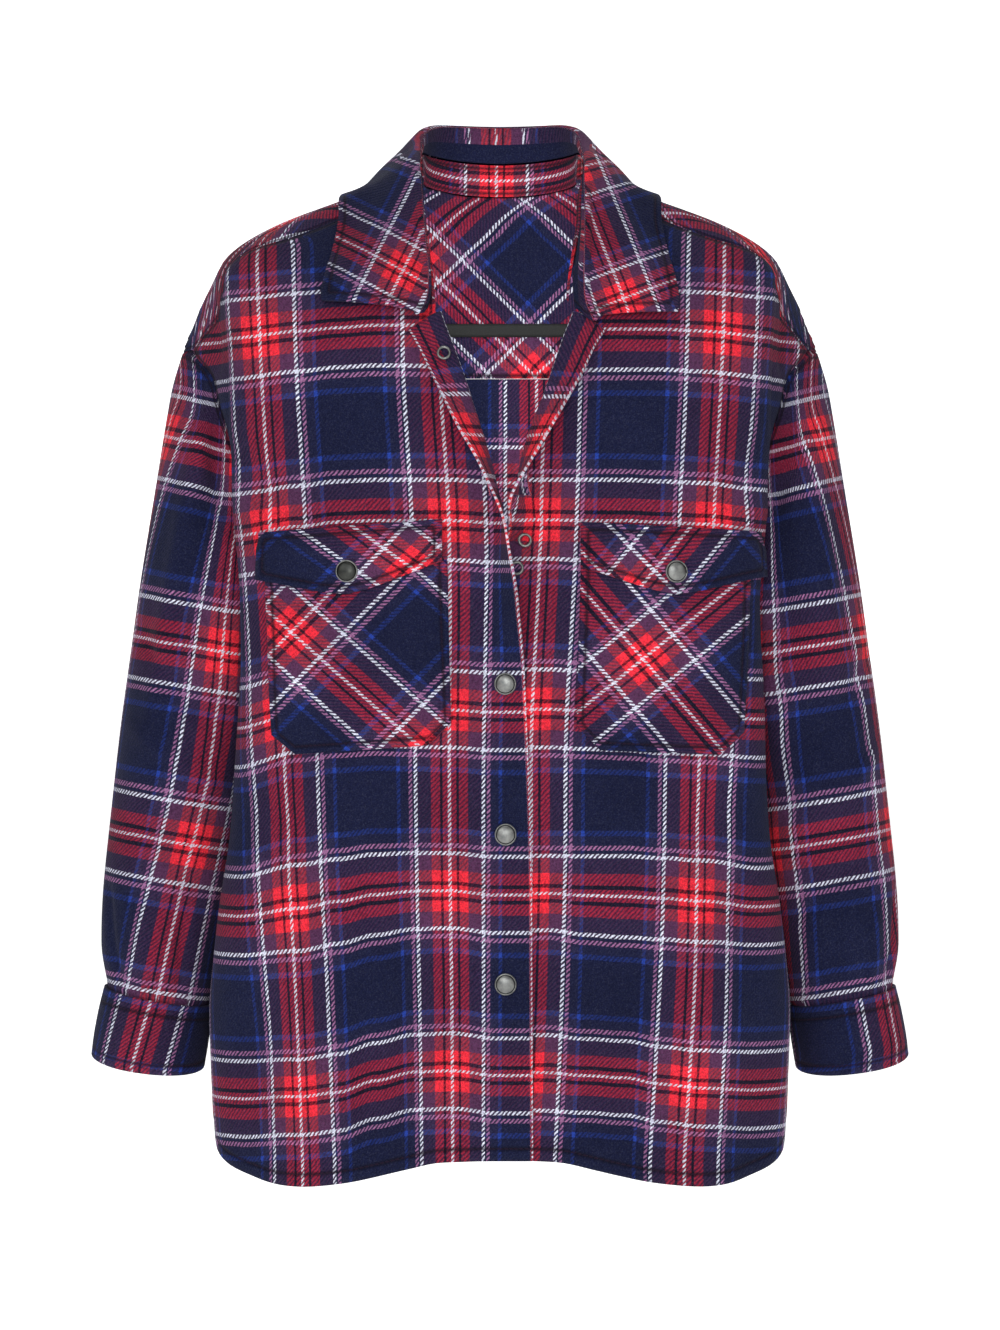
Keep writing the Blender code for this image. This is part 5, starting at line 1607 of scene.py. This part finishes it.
def make_pocket(side):
    inner_x, outer_x, top_z, inner_z, outer_z, corner_across, corner_up = POCKETS[side]
    width = outer_x - inner_x
    cut = corner_across / width
    coarse_u = np.array([0, cut / 2, cut, 0.3, 0.45, 0.6, 0.75, 1 - cut, 1 - cut / 2, 1])
    u = np.interp(np.linspace(0, 9, PATCH_STEPS + 1), np.arange(10), coarse_u)[None]
    v = np.linspace(0, 1, PATCH_STEPS + 1)[:, None]
    low = inner_z + (outer_z - inner_z) * u + corner_up * np.clip(1 - np.minimum(u, 1 - u) / cut, 0, 1)
    z = top_z + (low - top_z) * v
    x = inner_x + width * u - POCKET_TAPER * v * (1 + u)
    swell = POCKET_SWELL * np.sin(math.pi * u) * np.sin(math.pi * v * 0.9)
    points, normals = layer_on_front(side, x, z, CLOTH + LAYER_GAP + swell)
    points = lifted(side, points, normals, front_s(x, z), z)
    points, normals = place_on_side(side, points, normals)
    line = inset_line(points, PATCH_INSET, top=False)
    sew_panel("pocket_" + side, points, normals, view_bias(POCKET_BIAS[side], points), line, CLOTH)


def make_flap(side):
    v, u = np.mgrid[0 : 1 : (FLAP_ROW_STEPS + 1) * 1j, 0 : 1 : (PATCH_STEPS + 1) * 1j]
    points, normals = flap_surface(side, u, v)
    points = lifted(side, points, normals, front_s(points[..., 0], points[..., 2]), points[..., 2])
    points, normals = place_on_side(side, points, normals)
    line = inset_line(points, PATCH_INSET)
    sew_panel("flap_" + side, points, normals, view_bias(FLAP_BIAS[side], points), line, DOUBLE_CLOTH)


for side in ("right", "left"):
    make_pocket(side)
    make_flap(side)

# %% [markdown]
# A flat woven tape crosses the inside of the yoke. It is a narrow grid moved in from the yoke's cloth, with
# no folds of its own.

# %% The tape
def make_tape():
    x = np.linspace(-TAPE_HALF_WIDTH, TAPE_HALF_WIDTH, 65)[None]
    z = np.linspace(TAPE_TOP_Z, TAPE_LOW_Z, 5)[:, None]
    s = back_s(np.abs(x), z)
    points, normals = body_points(s, z), body_normals(s, z)
    points[..., 0] *= np.sign(x)
    normals[..., 0] *= np.sign(x)
    points -= normals * (CLOTH / 2 + LAYER_GAP + TAPE_THICKNESS / 2)
    run = lengths_along(points, 1)
    flat = np.stack([run, run], axis=-1)
    sew_panel(
        "yoke_tape", points, normals, flat, run, TAPE_THICKNESS, run=run, look=tape_look, slot=TAPE_SLOT,
    )


make_tape()

# %% [markdown]
# A snap's cap is a shallow dome inside a rolled rim. It is spun: a few points of its half section are turned
# once round the axis, which is the way the real cap is pressed. The ring sockets are spun wires.

# %% The snaps and rings
CAP_SECTION = (
    (0.0, 1.0), (0.28, 0.97), (0.54, 0.88), (0.72, 0.75), (0.80, 0.64), (0.82, 0.5), (0.85, 0.48),
    (0.875, 0.56), (0.92, 0.62), (0.97, 0.56), (1.0, 0.4), (0.99, 0.18), (0.95, 0.02), (0.90, 0.0),
    (0.0, 0.0),
)
# Shares of the radius where a cap's face ends and where the groove round it ends. The groove ring takes a
# dark copy of the metal as painted shade.
CAP_LIMITS = (0.80, 0.87)
SPIN_STEPS = 48
FIRST_CAP_ABOVE_Z = -400.0


def spun(name, section, place, facing, looks=(metal,), limits=()):
    """Turns a half section of (radius, height) round the facing axis; each look reaches out to its limit."""
    form = bmesh.new()
    verts = [form.verts.new((radius * MM, 0, height * MM)) for radius, height in section]
    edges = [form.edges.new(pair) for pair in zip(verts, verts[1:])]
    bmesh.ops.spin(
        form, geom=verts + edges, cent=(0, 0, 0), axis=(0, 0, 1), angle=2 * math.pi, steps=SPIN_STEPS,
        use_merge=True,
    )
    bmesh.ops.remove_doubles(form, verts=form.verts, dist=0.00001)
    bmesh.ops.recalc_face_normals(form, faces=form.faces)
    for face in form.faces:
        face.material_index = sum(face.calc_center_median().xy.length > limit * MM for limit in limits)
    turn = Vector([float(value) for value in facing]).to_track_quat("Z", "Y").to_matrix()
    bmesh.ops.rotate(form, verts=form.verts, cent=(0, 0, 0), matrix=turn)
    bmesh.ops.translate(form, verts=form.verts, vec=[float(value) * MM for value in place])
    finish_piece(object_from(form, "metal_" + name, looks), name)


def make_cap(name, radius, seat, normal, face_look):
    section = [(r * radius, h * CAP_HEIGHT) for r, h in CAP_SECTION]
    limits = [share * radius for share in CAP_LIMITS]
    # The groove ring takes the dark copy of the metal as painted shade.
    spun(name, section, seat, normal, (face_look, groove_shade_metal, metal), limits)


def make_caps():
    for name, z in PLACKET_SNAPS:
        at_x = body_points(front_s(-PLACKET_SNAP_X, z), z)[0]
        reach = curve(RIGHT_EDGE, z) - at_x
        point, normal = place_on_side("right", *band_surface("right", z, reach))
        lift = FIRST_CAP_LIFT if z > FIRST_CAP_ABOVE_Z else 0.0
        seat = point + normal * (CLOTH / 2 + SEAM_GAP + lift)
        make_cap(name, PLACKET_CAP_RADIUS, seat, normal, metal)
    # The right flap's cap face takes the darker copy of the metal as painted shade.
    for side, face_look in (("right", shaded_face_metal), ("left", metal)):
        tip, down = np.array(flap_tip(side)), np.array(FLAP_SNAP_DOWN)
        point, normal = place_on_side(side, *flap_surface(side, tip, down))
        seat = point + normal * (DOUBLE_CLOTH / 2 + SEAM_GAP)
        make_cap("snap_flap_" + side, FLAP_CAP_RADIUS, seat, normal, face_look)


def make_socket(name, side, z, reach, outer_face, lift):
    point, normal = place_on_side(side, *band_surface(side, z, reach))
    facing = normal if outer_face else -normal
    seat = point + facing * (CLOTH / 2 + lift)
    wire = [
        (RING_RADIUS + RING_WIRE * math.cos(turn), RING_WIRE * (1 + math.sin(turn)))
        for turn in np.linspace(0, 2 * math.pi, 13)
    ]
    spun(name, wire, seat, facing)


make_caps()
for row in RINGS:
    make_socket(*row)

# %% [markdown]

# %% [markdown]
# The photograph is taken straight from the front with a long lens, in soft even light on white. A pale sweep
# stands in for the studio floor, large soft lights stand on both sides, and the camera keeps its distance.

# %% Floor, light and camera
FLOOR_Z = -900.0
SWEEP_FRONT_Y = -4200.0
SWEEP_BEND_Y = 3500.0
SWEEP_BEND_RADIUS = 600.0
SWEEP_TOP = 4200.0
SWEEP_WIDTH = 10000.0
# Half the photograph's height in millimetres at a distance in front of the lens.
HALF_VIEW = 485.45
VIEW_DISTANCE = 3200.0


def make_sweep():
    """A pale floor that curves up into a wall far behind: one line of points, drawn out sideways."""
    form = bmesh.new()
    profile = [(SWEEP_FRONT_Y, 0.0)]
    for turn in np.linspace(0, math.pi / 2, 13):
        y, z = math.sin(turn) * SWEEP_BEND_RADIUS, (1 - math.cos(turn)) * SWEEP_BEND_RADIUS
        profile.append((SWEEP_BEND_Y + y, z))
    profile.append((SWEEP_BEND_Y + SWEEP_BEND_RADIUS, SWEEP_TOP))
    verts = [form.verts.new((-SWEEP_WIDTH / 2 * MM, y * MM, (z + FLOOR_Z) * MM)) for y, z in profile]
    edges = [form.edges.new(pair) for pair in zip(verts, verts[1:])]
    swept = bmesh.ops.extrude_edge_only(form, edges=edges)
    moved = [item for item in swept["geom"] if isinstance(item, bmesh.types.BMVert)]
    bmesh.ops.translate(form, verts=moved, vec=(SWEEP_WIDTH * MM, 0, 0))
    bmesh.ops.recalc_face_normals(form, faces=form.faces)
    look, shader, wire = new_material("pale_paper", 0.9)
    shade = wire.ramp(wire.noise(wire.place(), 2.0), greys((0.3, 0.95), (0.7, 0.97)))
    wire.join(shade, shader.inputs["Base Color"])
    shader.inputs["Emission Color"].default_value = (1, 1, 1, 1)
    shader.inputs["Emission Strength"].default_value = 0.62
    object_from(form, "studio_sweep", [look])


def add_light(name, place, target, size, power):
    light = bpy.data.lights.new(name, "AREA")
    light.shape = "RECTANGLE"
    light.size, light.size_y = size
    light.energy = power
    lamp = bpy.data.objects.new(name, light)
    lamp.location = place
    lamp.rotation_euler = (Vector(target) - Vector(place)).to_track_quat("-Z", "Y").to_euler()
    lamp.visible_camera = False
    bpy.context.scene.collection.objects.link(lamp)


make_sweep()
add_light("soft_left", (-1.7, -2.9, 1.1), (0, 0, -0.35), (1.6, 2.0), 27)
add_light("soft_right", (2.0, -2.7, 0.8), (0, 0, -0.35), (1.6, 2.0), 14)
add_light("soft_front", (-0.1, -3.2, 0.15), (0, 0, -0.15), (0.8, 0.8), 30)
add_light("soft_top", (0, -1.0, 2.6), (0, 0, -0.35), (2.6, 1.6), 24)
add_light("soft_back", (0, 1.6, 1.6), (0, 0, -0.3), (2.4, 1.2), 22)
add_light("neck_fill", (0, -0.01, -0.13), (0, 1, -0.13), (0.2, 0.24), 0.26)

world = bpy.data.worlds.new("studio_air")
world.use_nodes = True
air = Wiring(world)
background = world.node_tree.nodes["Background"]
directions = air.split(air.node("ShaderNodeTexCoord").outputs["Generated"])
strength = air.node("ShaderNodeMapRange")
for socket, value in (("From Min", -0.4), ("From Max", 0.8), ("To Min", 0.3), ("To Max", 0.62)):
    strength.inputs[socket].default_value = value
air.join(directions[2], strength.inputs["Value"])
air.join(strength.outputs[0], background.inputs["Strength"])
# The eye meets plain white past the sweep's edge, while the garment is lit by the dimmer air.
paper = air.node("ShaderNodeBackground")
paper.inputs["Color"].default_value = (0.96, 0.96, 0.96, 1)
either = air.node("ShaderNodeMixShader")
is_seen = air.node("ShaderNodeLightPath").outputs["Is Camera Ray"]
for source, socket in zip((is_seen, background.outputs[0], paper.outputs[0]), either.inputs):
    air.join(source, socket)
air.join(either.outputs[0], world.node_tree.nodes["World Output"].inputs["Surface"])
bpy.context.scene.world = world
bpy.context.scene.view_settings.view_transform = "Standard"

lens = bpy.data.cameras.new("photo_view")
lens.sensor_fit = "VERTICAL"
lens.angle = 2 * math.atan(HALF_VIEW / VIEW_DISTANCE)
camera = bpy.data.objects.new("photo_view", lens)
camera.location = (0, -3.26, -0.3555)
camera.rotation_euler = (math.pi / 2, 0, 0)
bpy.context.scene.collection.objects.link(camera)
bpy.context.scene.camera = camera
